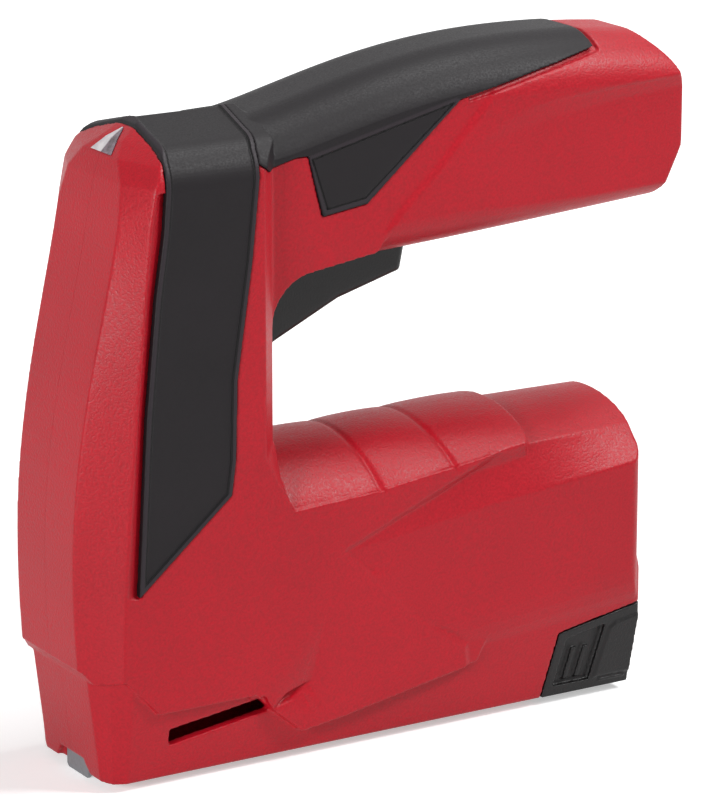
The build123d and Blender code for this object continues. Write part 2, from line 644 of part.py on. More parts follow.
def hammer():
    """Yoke that straddles the lifter wheel: a bridge on two legs, one leg toothed."""
    legs = block(HAMMER_X, (-HAMMER_HALF, RACK_Y - TOOTH_ROOT), (HAMMER_FOOT, BRIDGE_HIGH))
    legs += block(HAMMER_X, (WHEEL_R + TOOTH_TOP + LEG_GAP, HAMMER_HALF), (HAMMER_FOOT, BRIDGE_HIGH))
    bridge = block(HAMMER_X, (-HAMMER_HALF, HAMMER_HALF), (BRIDGE_LOW, BRIDGE_HIGH))
    arm = block((BLADE_BACK, SPRING_X + MAIN_SPRING_R + MAIN_SPRING_WIRE), (-BRIDGE_HALF, BRIDGE_HALF),
                (BRIDGE_LOW, BRIDGE_HIGH))
    spigot = bar_z(MAIN_SPRING_R - MAIN_SPRING_WIRE, BRIDGE_HIGH, BRIDGE_HIGH + SPIGOT, SPRING_X, 0)
    body = legs + bridge + arm + spigot
    pitch = math.pi * MODULE
    for tooth in range(math.ceil(LIFT / pitch) + 3):
        body += along(rack_tooth(DRIVE_Z + 1.5 * pitch - tooth * pitch), *HAMMER_X)
    return body


def blade_rivets():
    """Two rivet heads over the blade's upper end."""
    z = (BRIDGE_LOW + BRIDGE_HIGH) / 2
    return [bar_x(RIVET_R, -BLADE_BACK - RIVET_HEAD, -BLADE_BACK, y, z)
            for y in (-BRIDGE_HALF / 4, BRIDGE_HALF / 4)]


def wheel_tooth(angle):
    """One straight-sided tooth of the lifter wheel at the given angle."""
    slope = math.tan(math.radians(PRESSURE))
    half = math.pi * MODULE / 4 - BACKLASH / 2
    foot, tip = half + 0.6 * slope * TOOTH_ROOT, half - 1.3 * slope * TOOTH_TOP
    low, high = WHEEL_R - 1.5 * TOOTH_ROOT, WHEEL_R + TOOTH_TOP
    return Rot(0, 0, angle) * polygon([(low, -foot), (WHEEL_R, -half), (high, -tip), (high, tip),
                                       (WHEEL_R, half), (low, foot)])


def lifter_wheel():
    """Wheel with teeth on part of its rim; the bare part lets the hammer fall."""
    rim = Circle(WHEEL_R - TOOTH_ROOT)
    step = 360.0 / WHEEL_TEETH
    # the rack lies at -Y, half a turn from the angle zero; the teeth that follow it come from below
    travel = math.degrees(LIFT / WHEEL_R)
    for tooth in range(-2, math.ceil(travel / step) + 2):
        rim = rim + wheel_tooth(180.0 + tooth * step)
    flat = Pos(2 * SHAFT_R - SHAFT_FLAT, 0) * Rectangle(2 * SHAFT_R, 2 * SHAFT_R)
    face = rim - (Circle(SHAFT_R) - flat)
    return Pos(0, 0, DRIVE_Z) * along(face, WHEEL_X, WHEEL_X + WHEEL_THICK)


def output_shaft():
    """Gearbox shaft with a flat that drives the lifter wheel."""
    wheel_end = WHEEL_X + WHEEL_THICK
    shaft = bar_x(SHAFT_R, WHEEL_X, GEARBOX_START, 0, DRIVE_Z)
    shaft -= block((0, wheel_end), (SHAFT_R - SHAFT_FLAT, 2 * SHAFT_R),
                   (DRIVE_Z - SHAFT_R, DRIVE_Z + SHAFT_R))
    return shaft + bar_x(SHAFT_R - CLIP_STEP, WHEEL_X - 1.5 * CLIP_THICK, WHEEL_X, 0, DRIVE_Z)


def wheel_clip():
    """Retaining ring in front of the wheel."""
    ring = bar_x(SHAFT_R + CLIP_STEP, WHEEL_X - CLIP_THICK, WHEEL_X, 0, DRIVE_Z)
    return ring - bar_x(SHAFT_R - CLIP_STEP, 0, WHEEL_X, 0, DRIVE_Z)


def main_spring():
    length = SEAT_LOW - BRIDGE_HIGH
    return Pos(SPRING_X, 0, BRIDGE_HIGH) * coil(MAIN_SPRING_R, MAIN_SPRING_WIRE, length, MAIN_SPRING_TURNS)


def spring_seat():
    """Cup that takes the upper end of the main spring."""
    disc = bar_z(MAIN_SPRING_R + 1.5 * MAIN_SPRING_WIRE, SEAT_LOW, FRAME_TOP, SPRING_X, 0)
    return disc + bar_z(MAIN_SPRING_R - MAIN_SPRING_WIRE, SEAT_LOW - SPIGOT, SEAT_LOW, SPRING_X, 0)


def drive_frame():
    """Chassis inside the column: guides the hammer, carries the shaft and the spring seat."""
    front, back = HAMMER_X[0] - FRAME_PLATE, FRAME_BACK[1]
    cheek_in = HAMMER_HALF - GUIDE_DEPTH
    groove = (HAMMER_X[0] - SLIDE_GAP, HAMMER_X[1] + SLIDE_GAP)
    frame = both_sides((front, back), (cheek_in + SLIDE_GAP, FRAME_HALF),
                       (CHEEK_LOW, FRAME_TOP + FRAME_PLATE))
    frame += block(FRAME_BACK, (-FRAME_HALF, FRAME_HALF), (CHEEK_LOW, FRAME_TOP + FRAME_PLATE))
    frame += block(FRAME_BACK, (-FRAME_FOOT_HALF, FRAME_FOOT_HALF), (CHANNEL_TOP, CHEEK_LOW))
    frame += block((front, back), (-FRAME_HALF, FRAME_HALF), (FRAME_TOP, FRAME_TOP + FRAME_PLATE))
    frame += block((SPRING_X - MAIN_SPRING_R - MAIN_SPRING_WIRE, front),
                   (-FRAME_TONGUE_HALF, FRAME_TONGUE_HALF),
                   (FRAME_TOP, FRAME_TOP + FRAME_PLATE))
    frame += block((front, back), (-FRAME_FOOT_HALF, FRAME_FOOT_HALF), (CHANNEL_TOP, BUMPER_PLATE))
    frame += block((PLATE_BACK, front + 1), (-NOSE_PLATE_HALF, NOSE_PLATE_HALF),
                   (CHANNEL_TOP, NOSE_PLATE_TOP))
    frame -= both_sides(groove, (0, HAMMER_HALF + SLIDE_GAP), (BUMPER_PLATE, SEAT_LOW))
    frame -= bar_x(BEARING_R, FRAME_BACK[0] - 1, FRAME_BACK[1] + 1, 0, DRIVE_Z)
    frame -= block((FRAME_BACK[0] - 1, FRAME_BACK[1] + 1), (-BRIDGE_HALF, BRIDGE_HALF),
                   (BRIDGE_LOW, SEAT_LOW - 6))
    for y in (-NOSE_SCREW_Y, NOSE_SCREW_Y):
        frame -= bar_x(NOSE_SCREW_R, 0, PLATE_BACK + NOSE_SCREW_LENGTH, y, NOSE_SCREW_Z)
    return frame


def output_bearing():
    """Flanged bush in the frame; the shaft turns in it."""
    bush = bar_x(BEARING_R, *FRAME_BACK, 0, DRIVE_Z)
    bush += bar_x(BEARING_R + 1.5, FRAME_BACK[1], FRAME_BACK[1] + 1.5, 0, DRIVE_Z)
    return bush - bar_x(SHAFT_R + BORE_GAP, 0, 2 * FRAME_BACK[1], 0, DRIVE_Z)


def bumpers():
    """Two rubber blocks that stop the hammer's legs."""
    inner = WHEEL_R + TOOTH_TOP + LEG_GAP
    return [block(HAMMER_X, side, (BUMPER_PLATE, HAMMER_FOOT))
            for side in ((-HAMMER_HALF, -inner), (inner, HAMMER_HALF))]


# ======================= Motor and gearbox ===============================================

def gearbox_case():
    """Closed planetary gearbox with a front collar round the output shaft."""
    case = bar_x(GEARBOX_R, GEARBOX_START + COLLAR, GEARBOX_END, 0, DRIVE_Z)
    case = fillet(case.edges().filter_by(GeomType.CIRCLE).sort_by(Axis.X)[0], 1.5)
    for turn in range(6):
        lug = Pos(0, 0, DRIVE_Z) * Rot(60 * turn, 0, 0) * block(
            (GEARBOX_START + COLLAR + 4, GEARBOX_END), (-1.5, 1.5), (0, GEARBOX_R + 0.8))
        case += lug
    case += bar_x(BEARING_R, GEARBOX_START, GEARBOX_START + COLLAR, 0, DRIVE_Z)
    return case


def gearbox_screws():
    """Screw heads that hold the gearbox on its front flange."""
    y = (GEARBOX_R + BEARING_R) / 2
    front = GEARBOX_START + COLLAR
    return [bar_x(1.9, front - 1.4, front, side, DRIVE_Z) for side in (-y, y)]


def motor_can():
    """Motor in its steel can, flattened on two sides, with the pole ring round it."""
    can = bar_x(MOTOR_R, GEARBOX_END, MOTOR_END, 0, DRIVE_Z)
    can = fillet(can.edges().filter_by(GeomType.CIRCLE).sort_by(Axis.X)[-1], 1.2)
    return can + bar_x(MOTOR_R + 0.6, GEARBOX_END + 6, MOTOR_END - 8, 0, DRIVE_Z)


def motor_end_cap():
    cap = bar_x(MOTOR_R - 1.5, MOTOR_END, MOTOR_END + MOTOR_CAP_LENGTH, 0, DRIVE_Z)
    return cap + bar_x(4.0, MOTOR_END + MOTOR_CAP_LENGTH, MOTOR_END + MOTOR_CAP_LENGTH + 2, 0, DRIVE_Z)


def motor_terminals():
    """Two solder tags on the motor's end cap."""
    start = MOTOR_END + MOTOR_CAP_LENGTH
    return [block((start, start + 5), (side - 0.3, side + 0.3), (DRIVE_Z - 1.5, DRIVE_Z + 1.5))
            for side in (-8, 8)]


# ======================= Nose and safety contact =========================================

def nose_plate():
    """Steel plate in front of the blade, with the staple's way out milled in its back."""
    half = STAPLE_WIDTH / 2 + BLADE_GAP
    plate = block((PLATE_FRONT, PLATE_BACK), (-NOSE_PLATE_HALF, NOSE_PLATE_HALF),
                  (-NOSE_PLATE_DROP, NOSE_PLATE_TOP))
    plate -= block((-BLADE_BACK - BLADE_GAP, 2 * PLATE_BACK), (-half, half),
                   (-5, NOSE_PLATE_TOP + 5))
    for y in (-NOSE_SCREW_Y, NOSE_SCREW_Y):
        plate -= bar_x(NOSE_SCREW_R, -10, 10, y, NOSE_SCREW_Z)
    return plate


def nose_screws():
    """Two screws that hold the nose plate on the drive frame."""
    return [bar_x(NOSE_SCREW_R, PLATE_FRONT, PLATE_BACK + NOSE_SCREW_LENGTH, y, NOSE_SCREW_Z)
            + bar_x(1.8 * NOSE_SCREW_R, PLATE_FRONT - NOSE_SCREW_HEAD, PLATE_FRONT, y, NOSE_SCREW_Z)
            for y in (-NOSE_SCREW_Y, NOSE_SCREW_Y)]


def nose_contact():
    """Sprung steel foot that must be pressed down before the tool can fire."""
    sheet = (CONTACT_FRONT, CONTACT_BACK)
    foot = block(sheet, (-CONTACT_HALF, CONTACT_HALF), (-CONTACT_DROP, CONTACT_SHOULDER))
    foot = chamfer(foot.edges().filter_by(Axis.X).sort_by(Axis.Z)[:2], 0.8)
    stem = block(sheet, (-CONTACT_STEM_HALF, CONTACT_STEM_HALF), (CONTACT_SHOULDER, CONTACT_TAB_Z))
    tab = block((CONTACT_FRONT - CONTACT_TAB, CONTACT_BACK), (-CONTACT_TAB_HALF, CONTACT_TAB_HALF),
                (CONTACT_TAB_Z, CONTACT_TAB_Z + CONTACT_SHEET))
    return foot + stem + tab


def contact_spring():
    start = CONTACT_TAB_Z + CONTACT_SHEET
    place = Pos(CONTACT_SPRING_X, CONTACT_SPRING_Y, start)
    return place * coil(CONTACT_SPRING_R, CONTACT_SPRING_WIRE, CONTACT_SPRING_TOP - start, 8)


def safety_plunger():
    """Pin on the contact's tab that works the safety switch."""
    start = CONTACT_TAB_Z + CONTACT_SHEET
    return bar_z(PLUNGER_R, start, start + PLUNGER_LENGTH, CONTACT_SPRING_X, -CONTACT_SPRING_Y)


def safety_switch():
    """Small switch above the contact's tab, open below for the plunger."""
    low = CONTACT_TAB_Z + CONTACT_SHEET + CONTACT_DROP + 1.0
    x, y = CONTACT_SPRING_X, -CONTACT_SPRING_Y
    body = block((x - 1.9, x + 1.9), (y - 3.0, y + 3.0), (low, CONTACT_SPRING_TOP))
    depth = CONTACT_TAB_Z + CONTACT_SHEET + PLUNGER_LENGTH + CONTACT_DROP + 0.5
    return body - bar_z(PLUNGER_R + SLIDE_GAP, low - 1, depth, x, y)


# ======================= Magazine ========================================================

def magazine_channel():
    """Fixed steel channel, open below, that holds the strip of staples."""
    channel = block((PLATE_BACK, CHANNEL_END), (-CHANNEL_OUT, CHANNEL_OUT), (CHANNEL_BOTTOM, CHANNEL_TOP))
    channel -= block((-5, CHANNEL_END + 5), (-CHANNEL_IN, CHANNEL_IN), (-5, CHANNEL_ROOF))
    sight = block((WINDOW[0][0] + 2, WINDOW[2][0] + 4), (-FAR, FAR), (5.0, 11.0))
    return channel - sight


def magazine_rail():
    """Sliding inner rail that the staples straddle; it comes out with the cap."""
    rail = block((RAIL_START, RAIL_END), (-RAIL_OUT, RAIL_OUT), (RAIL_BOTTOM, RAIL_TOP))
    inner = RAIL_OUT - RAIL_SHEET
    return rail - block((-5, RAIL_END + 5), (-inner, inner), (-5, RAIL_TOP - RAIL_SHEET))


def pusher_rod():
    """Rod inside the rail that carries the pusher spring."""
    return bar_x(ROD_R, RAIL_START + 2, RAIL_END, 0, ROD_Z)


def staple_pusher():
    """Saddle that rides on the rail and pushes the staples forward."""
    end = PUSHER_START + PUSHER_LENGTH
    half, low, top = STAPLE_WIDTH / 2 - SLIDE_GAP / 3, RAIL_BOTTOM - 1.2, CHANNEL_ROOF - SLIDE_GAP
    body = block((PUSHER_START, end), (-half, half), (low, top))
    wall_in, wall_out = RAIL_OUT - RAIL_SHEET - SLIDE_GAP, RAIL_OUT + SLIDE_GAP
    reach = (PUSHER_START - 1, end + 1)
    body -= both_sides(reach, (wall_in, wall_out), (RAIL_BOTTOM - SLIDE_GAP, RAIL_TOP + SLIDE_GAP))
    body -= block(reach, (-wall_in - 0.1, wall_in + 0.1),
                  (RAIL_TOP - RAIL_SHEET - SLIDE_GAP, RAIL_TOP + SLIDE_GAP))
    return body - bar_x(ROD_R + SLIDE_GAP, *reach, 0, ROD_Z)


def pusher_spring():
    start = PUSHER_START + PUSHER_LENGTH
    spring = coil(PUSHER_SPRING_R, PUSHER_SPRING_WIRE, CAP_FRONT - start, PUSHER_SPRING_TURNS)
    return Pos(start, 0, ROD_Z) * Rot(0, 90, 0) * spring


def cap_recess():
    """Finger recess in both sides of the cap, with its ribs left standing."""
    cut = across(polygon(CAP_RECESS), FAR) - base_form(-CAP_GRIP_DEPTH)
    low, high = CAP_RECESS[0][1] + 1.5, CAP_RECESS[1][1] - 3.0
    lean = (CAP_RECESS[1][0] - CAP_RECESS[0][0]) / (CAP_RECESS[1][1] - CAP_RECESS[0][1])
    for rib in range(CAP_RIBS):
        x = CAP_RECESS[0][0] + CAP_RIB_PITCH * (rib + 0.6)
        side = polygon([(x + lean * low, low), (x + lean * high, high),
                        (x + CAP_RIB + lean * high, high), (x + CAP_RIB + lean * low, low)])
        cut -= across(side, FAR) & base_form(-CAP_RIB_DROP)
    return cut


def magazine_cap():
    """Black end cap of the magazine: hollow, open in front, ribbed for the fingers."""
    cap = base_form(0) & across(polygon(CAP_OUTLINE), FAR)
    hollow = grown(polygon(CAP_OUTLINE), -CAP_WALL)
    cap -= across(hollow + Pos(-CAP_WALL * 3, 0) * hollow, FAR) & base_form(-CAP_WALL - CAP_GRIP_DEPTH)
    core = block((CAP_FRONT, BASE_END), (-CHANNEL_IN, CHANNEL_IN), (0, CHANNEL_ROOF))
    cap += core & across(polygon(CAP_OUTLINE), FAR) & base_form(0)
    cap -= cap_recess()
    inner = RAIL_OUT - RAIL_SHEET
    cap -= block((0, RAIL_END), (-RAIL_OUT, RAIL_OUT), (-5, RAIL_TOP)) - block(
        (CAP_FRONT, RAIL_END), (-inner, inner), (-5, RAIL_TOP - RAIL_SHEET))
    return cap - bar_x(ROD_R, 0, RAIL_END, 0, ROD_Z)


# ======================= Trigger and switch ==============================================

def trigger():
    """Curved lever that fills the corner under the handle, hinged inside it."""
    lever = across(rounded(polygon(TRIGGER_OUTLINE), [(TRIGGER_OUTLINE[3], 1.2), (TRIGGER_OUTLINE[0], 2.0)]),
                   TRIGGER_HALF)
    edges = lever.edges().filter_by(lambda edge: abs(abs(edge.center().Y) - TRIGGER_HALF) < 0.01)
    lower = edges.filter_by(lambda edge: edge.center().Z < TRIGGER_OUTLINE[3][1] - 1.0)
    lever = fillet(lower, TRIGGER_ROUND)
    x, z = TRIGGER_PIVOT
    wall = grown(polygon(TRIGGER_OUTLINE), -TRIGGER_WALL)
    lever -= across(wall + Pos(0, 2 * TRIGGER_WALL) * wall, TRIGGER_HALF - TRIGGER_WALL)
    lever += across(polygon(TRIGGER_OUTLINE), TRIGGER_WALL / 2)
    lever += bar_z(TRIGGER_SPRING_R + 2.4, TRIGGER_SPRING_LOW - TRIGGER_WALL, TRIGGER_TOP,
                   TRIGGER_SPRING_X, 0)
    lever += bar_y(PIVOT_BOSS_R, -TRIGGER_HALF, TRIGGER_HALF, x, z)
    stem = [(x - 12, TRIGGER_TOP - 8), (x + 4, TRIGGER_TOP - 8), (x + PIVOT_BOSS_R, z), (x - PIVOT_BOSS_R, z)]
    horn = [(x - 3, z), (HORN_X, z), (HORN_X, HORN_TOP), (HORN_X - 2.4, HORN_TOP)]
    lever += across(polygon(stem), TRIGGER_HALF / 2) + across(polygon(horn), HORN_HALF)
    lever -= bar_y(PIN_R + BORE_GAP, -FAR, FAR, x, z)
    return lever - bar_z(TRIGGER_SPRING_R + 1.0, TRIGGER_SPRING_LOW, FAR, TRIGGER_SPRING_X, 0)


def trigger_pin():
    reach = HANDLE_STATIONS[2][3] - WALL
    return bar_y(PIN_R, -reach, reach, *TRIGGER_PIVOT)


def trigger_spring():
    length = TRIGGER_SPRING_HIGH - TRIGGER_SPRING_LOW
    return Pos(TRIGGER_SPRING_X, 0, TRIGGER_SPRING_LOW) * coil(TRIGGER_SPRING_R, 0.5, length, 8)


def trigger_switch():
    """Small switch behind the trigger's horn, open in front for its button."""
    pocket = SWITCH_FRONT + BUTTON_DEPTH + BUTTON_TRAVEL + 0.3
    return switch_room(0) - bar_x(BUTTON_R + SLIDE_GAP, SWITCH_FRONT - 1, pocket, 0, BUTTON_Z)


def switch_room(gap):
    length, width, height = (size + 2 * gap for size in SWITCH_SIZE)
    return Pos(SWITCH_FRONT + SWITCH_SIZE[0] / 2, 0, BUTTON_Z - 1) * Box(length, width, height)


def switch_button():
    """Round-ended button of the trigger switch."""
    front = HORN_X + BUTTON_AIR
    stem = bar_x(BUTTON_R, front + BUTTON_R, front + BUTTON_LENGTH, 0, BUTTON_Z)
    return stem + Pos(front + BUTTON_R, 0, BUTTON_Z) * Sphere(BUTTON_R)


# ======================= Power and control ===============================================

def battery_cell():
    """Round cell lying in the handle."""
    cell = bar_x(CELL_R, CELL_START, CELL_START + CELL_LENGTH, 0, CELL_Z)
    ends = cell.edges().filter_by(GeomType.CIRCLE)
    return fillet(ends, 0.8)


def battery_tabs():
    """Welded nickel tabs on both ends of the cell."""
    rear = CELL_START + CELL_LENGTH
    return [block((CELL_START - 0.3, CELL_START), (-3, 3), (CELL_Z - 6, CELL_Z + 6)),
            block((rear, rear + 0.3), (-3, 3), (CELL_Z - 6, CELL_Z + 6))]


def charging_socket():
    """Round socket in the end of the handle for the charger's plug."""
    back = SOCKET_MOUTH - SOCKET_DEPTH - SOCKET_FLOOR
    body = bar_x(SOCKET_OUT, back, SOCKET_MOUTH, 0, SOCKET_Z)
    body += block((back - 1.5, back), (-6, 6), (SOCKET_Z - 6, SOCKET_Z + 6))
    return body - bar_x(SOCKET_R, SOCKET_MOUTH - SOCKET_DEPTH, SOCKET_MOUTH + 5, 0, SOCKET_Z)


def control_board():
    board = block((BOARD_X[0], BOARD_X[1]), (-BOARD_HALF, BOARD_HALF), (BOARD_Z, BOARD_Z + BOARD_THICK))
    for x, y in board_holes():
        board -= bar_z(BOARD_SCREW_R, BOARD_Z - 1, BOARD_Z + 5, x, y)
    return board


def board_holes():
    x = BOARD_X[1] - 4
    return [(x, -BOARD_HALF + 3), (x, BOARD_HALF - 3)]


def board_parts():
    """Capacitor, coil, chip and power switch standing on the board."""
    top = BOARD_Z + BOARD_THICK
    x = BOARD_X[0]
    return [bar_z(3.0, top, top + 6.5, x + 12, 7), block((x + 10, x + 16), (-9, -3), (top, top + 3.5)),
            block((x + 18, x + 23), (-2.5, 2.5), (top, top + 1.4))]


def board_screws():
    return [bar_z(BOARD_SCREW_R, BOARD_Z - 5, BOARD_Z + BOARD_THICK, x, y)
            + bar_z(2 * BOARD_SCREW_R, BOARD_Z + BOARD_THICK, BOARD_Z + BOARD_THICK + 1.4, x, y)
            for x, y in board_holes()]


def status_led():
    top = BOARD_Z + BOARD_THICK
    return bar_z(LED_R, top, LED_TOP - LED_R, LED_X, 0) + Pos(LED_X, 0, LED_TOP - LED_R) * Sphere(LED_R)


def lens_prism():
    return upward(polygon(LENS_OUTLINE), LENS_LOW, FAR)


def status_lens():
    """Clear window in the brow of the column, flush with the casing."""
    return lens_prism() & (column_form(LENS_PROUD) - column_form(-WALL))


# ======================= Rubber grips ====================================================

def band_prism(grow=0.0):
    return across(grown(polygon(BAND_OUTLINE), grow), FAR)


def grip_prism():
    return across(polygon(GRIP_OUTLINE), FAR)


def grip_skin():
    return top_form(GRIP_PROUD) - top_form(-GRIP_RECESS)


def grip_rim():
    """Sunk rim of the casing round the rear of the handle's rubber."""
    rear = block((GRIP_RIM_START, FAR), (-FAR, FAR), (0, FAR))
    return (across(grown(polygon(GRIP_OUTLINE), GRIP_RIM), FAR) & rear) - top_form(-GRIP_RIM_DEPTH)


def band_slope():
    """Strip of the casing that slopes down to the front edge of the strap."""
    inner = BAND_OUTLINE[:len(SLOPE_OUTER)]
    under = list(reversed(shifted(inner, 1.0, 0)))
    return sloped(inner + under, COLUMN_HALF - SLOPE_DEPTH, SLOPE_OUTER + under, COLUMN_HALF + 0.1)


def grip_band():
    """Rubber strap that runs up one side of the column, over the top and down the other."""
    field = band_prism(-BEAD) - top_form(GRIP_PROUD - BEAD_DROP)
    return (band_prism() & grip_skin()) - field


def grip_top():
    """Rubber back of the handle, with a grooved panel on each side."""
    outer = polygon(GRIP_PANEL)
    ring = across(outer - grown(outer, -GROOVE), FAR) - top_form(GRIP_PROUD - GROOVE)
    return ((grip_prism() - band_prism()) & grip_skin()) - ring


# ======================= Casing ==========================================================

def saddle(start, thick, radius, low, high, z):
    """Cross wall with a round seat for a motor, gearbox or cell."""
    wall = block((start, start + thick), (-FAR, FAR), (low, high))
    return wall - bar_x(radius + REST_GAP, start - 1, start + thick + 1, 0, z)


def supports():
    """Ribs, seats and screw posts inside the casing, before they are trimmed to its wall."""
    drive_low, drive_high = CHANNEL_TOP + REST_GAP, NECK_UNDER - 30
    drive = [(GEARBOX_START + COLLAR + 1.5, GEARBOX_R), (GEARBOX_END - 3.5, GEARBOX_R + 1.0),
             (GEARBOX_END + 3.0, MOTOR_R), (MOTOR_END - 4.0, MOTOR_R)]
    post = bar_y(BOSS_R, -FAR, FAR, *SCREW_PLACES[0])
    for x, z in SCREW_PLACES[1:]:
        post += bar_y(BOSS_R, -FAR, FAR, x, z)
    for start, radius in drive:
        post += saddle(start, RIB, radius, drive_low, drive_high, DRIVE_Z)
    for share in (0.12, 0.5, 0.88):
        post += saddle(CELL_START + share * CELL_LENGTH, RIB, CELL_R, 120, 190, CELL_Z)
    post += saddle(SOCKET_MOUTH - SOCKET_DEPTH, SOCKET_DEPTH, SOCKET_OUT - REST_GAP, 120, 190, SOCKET_Z)
    post += both_sides((FRAME_BACK[1] + REST_GAP, FRAME_BACK[1] + REST_GAP + RIB), (14, FAR), (28, FRAME_TOP))
    post += both_sides((PLATE_BACK + 3, CHANNEL_END), (CHANNEL_OUT + REST_GAP, CHANNEL_OUT + REST_GAP + RIB),
                       (0, CHANNEL_TOP))
    post += block((-30, -BLADE_BACK - 0.6), (-8, 8), (CONTACT_SPRING_TOP, CONTACT_SPRING_TOP + RIB))
    post += block((TRIGGER_SPRING_X - 4, TRIGGER_SPRING_X + 4), (-FAR, FAR),
                  (TRIGGER_SPRING_HIGH, TRIGGER_SPRING_HIGH + RIB))
    shelf = BUTTON_Z - 1 - SWITCH_SIZE[2] / 2
    post += block((SWITCH_FRONT, SWITCH_FRONT + SWITCH_SIZE[0]), (-FAR, FAR), (shelf - RIB, shelf))
    post -= switch_room(REST_GAP)
    post += both_sides((BOARD_X[0] + 4, BOARD_X[1]), (BOARD_HALF - 6, FAR), (BOARD_Z - 6, BOARD_Z))
    pivot = bar_y(PIVOT_BOSS_R, -FAR, FAR, *TRIGGER_PIVOT)
    post += pivot - bar_y(2 * PIVOT_BOSS_R, -TRIGGER_HALF - REST_GAP, TRIGGER_HALF + REST_GAP, *TRIGGER_PIVOT)
    return post & body_form(0.3 - WALL)


def bulkhead():
    """Wall that closes the casing in front of and above the magazine cap."""
    outer, inner = grown(polygon(CAP_OUTLINE), CAP_GAP + RIB), grown(polygon(CAP_OUTLINE), CAP_GAP)
    return (across(outer, FAR) - across(inner, FAR)) & body_form(0.3 - WALL)


def nose_cuts():
    """Room for the nose plate, the nose contact and the notch in front of it."""
    cut = block((PLATE_FRONT - REST_GAP, PLATE_BACK + REST_GAP),
                (-NOSE_PLATE_HALF - REST_GAP, NOSE_PLATE_HALF + REST_GAP), (-5, NOSE_PLATE_TOP + REST_GAP))
    cut += block((CONTACT_FRONT - SLIDE_GAP, PLATE_FRONT),
                 (-CONTACT_HALF - SLIDE_GAP, CONTACT_HALF + SLIDE_GAP),
                 (-5, NOSE_PLATE_TOP + REST_GAP))
    notch = polygon(mirrored([(NOTCH_HALF + NOTCH_SPREAD * 2, -NOTCH_TOP), (NOTCH_HALF, NOTCH_TOP)]))
    return cut + along(notch, -20, CONTACT_FRONT)


def screw_cuts():
    cut = None
    for x, z in SCREW_PLACES:
        hole = bar_y(SCREW_HEAD_R + 0.4, SCREW_SEAT, FAR, x, z) + bar_y(SCREW_R + 0.2, 0, SCREW_SEAT, x, z)
        hole += bar_y(SCREW_R, -SCREW_REACH, 0, x, z)
        cut = hole if cut is None else cut + hole
    return cut


def trigger_cut():
    """Slot in the column's rear wall and the handle's underside for the trigger."""
    front, low, rear = TRIGGER_OUTLINE[0][0] - 6, TRIGGER_OUTLINE[0][1] - 3, TRIGGER_OUTLINE[3][0] + REST_GAP
    swept = [(front, low), (COLUMN_REAR + 5, low), (rear, 100), (rear + 1, TRIGGER_TOP + 1),
             (front, TRIGGER_TOP + 6)]
    return across(polygon(swept), TRIGGER_HALF + REST_GAP)


def casing():
    """Both halves of the casing in one piece, before the cut along the middle plane."""
    shell = casing_outside() - body_form(-WALL)
    shell += supports()
    shell += bulkhead()
    shell -= (band_prism() + grip_prism()) - top_form(-GRIP_RECESS)
    shell -= grip_rim() + band_slope()
    shell -= across(grown(polygon(CAP_OUTLINE), CAP_GAP), FAR)
    shell -= block((PLATE_BACK, CAP_FRONT + 10), (-CHANNEL_OUT - REST_GAP, CHANNEL_OUT + REST_GAP),
                   (-5, CHANNEL_TOP))
    shell -= nose_cuts()
    shell -= across(polygon(WINDOW), FAR) & block((-50, 200), (-FAR, -CHANNEL_OUT), (-5, 50))
    shell -= trigger_cut()
    shell -= lens_prism()
    shell -= bar_x(SOCKET_OUT, SOCKET_MOUTH - SOCKET_DEPTH - 10, FAR, 0, SOCKET_Z)
    shell -= bar_y(PIN_R, -HANDLE_STATIONS[2][3] + WALL, HANDLE_STATIONS[2][3] - WALL, *TRIGGER_PIVOT)
    for x, y in board_holes():
        shell -= bar_z(BOARD_SCREW_R, BOARD_Z - 5, BOARD_Z + 5, x, y)
    return shell - screw_cuts()


def housing_screws():
    """Screws that go in from the right and clamp the halves together."""
    top, screws = SCREW_SEAT + SCREW_HEAD, []
    for x, z in SCREW_PLACES:
        screw = bar_y(SCREW_R, -SCREW_REACH, SCREW_SEAT, x, z) + bar_y(SCREW_HEAD_R, SCREW_SEAT, top, x, z)
        screws.append(screw - Pos(x, top, z) * (Box(0.8, 2.0, 3.6) + Box(3.6, 2.0, 0.8)))
    return screws


# ======================= Output ==========================================================

def save(name, shape):
    """Writes one sub-part; a list of shapes is written as a group of separate solids."""
    solids = [solid for piece in (shape if isinstance(shape, list) else [shape]) for solid in piece.solids()]
    export_step(solids[0] if len(solids) == 1 else Compound(children=solids), f"parts/{name}.step")
    print(name, len(solids), round(sum(solid.volume for solid in solids), 1))


whole = casing()
save("housing_left", whole & block((-FAR, FAR), (-FAR, -SEAM / 2), (-FAR, FAR)))
save("housing_right", whole & block((-FAR, FAR), (SEAM / 2, FAR), (-FAR, FAR)))
for piece in (housing_screws, grip_band, grip_top, status_lens, status_led, control_board, board_parts,
              board_screws, charging_socket, battery_cell, battery_tabs, trigger_switch, switch_button,
              trigger, trigger_pin, trigger_spring, motor_can, motor_end_cap, motor_terminals, gearbox_case,
              gearbox_screws, drive_frame, output_bearing, output_shaft, lifter_wheel, wheel_clip, hammer,
              driver_blade, blade_rivets, main_spring, spring_seat, bumpers, nose_plate, nose_screws,
              nose_contact, contact_spring, safety_plunger, safety_switch, magazine_channel, magazine_rail,
              magazine_cap, pusher_rod, staple_pusher, pusher_spring):
    save(piece.__name__, piece())
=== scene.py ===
"""Cordless tacker: casing, grips, trigger, nose, magazine and drive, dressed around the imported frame."""

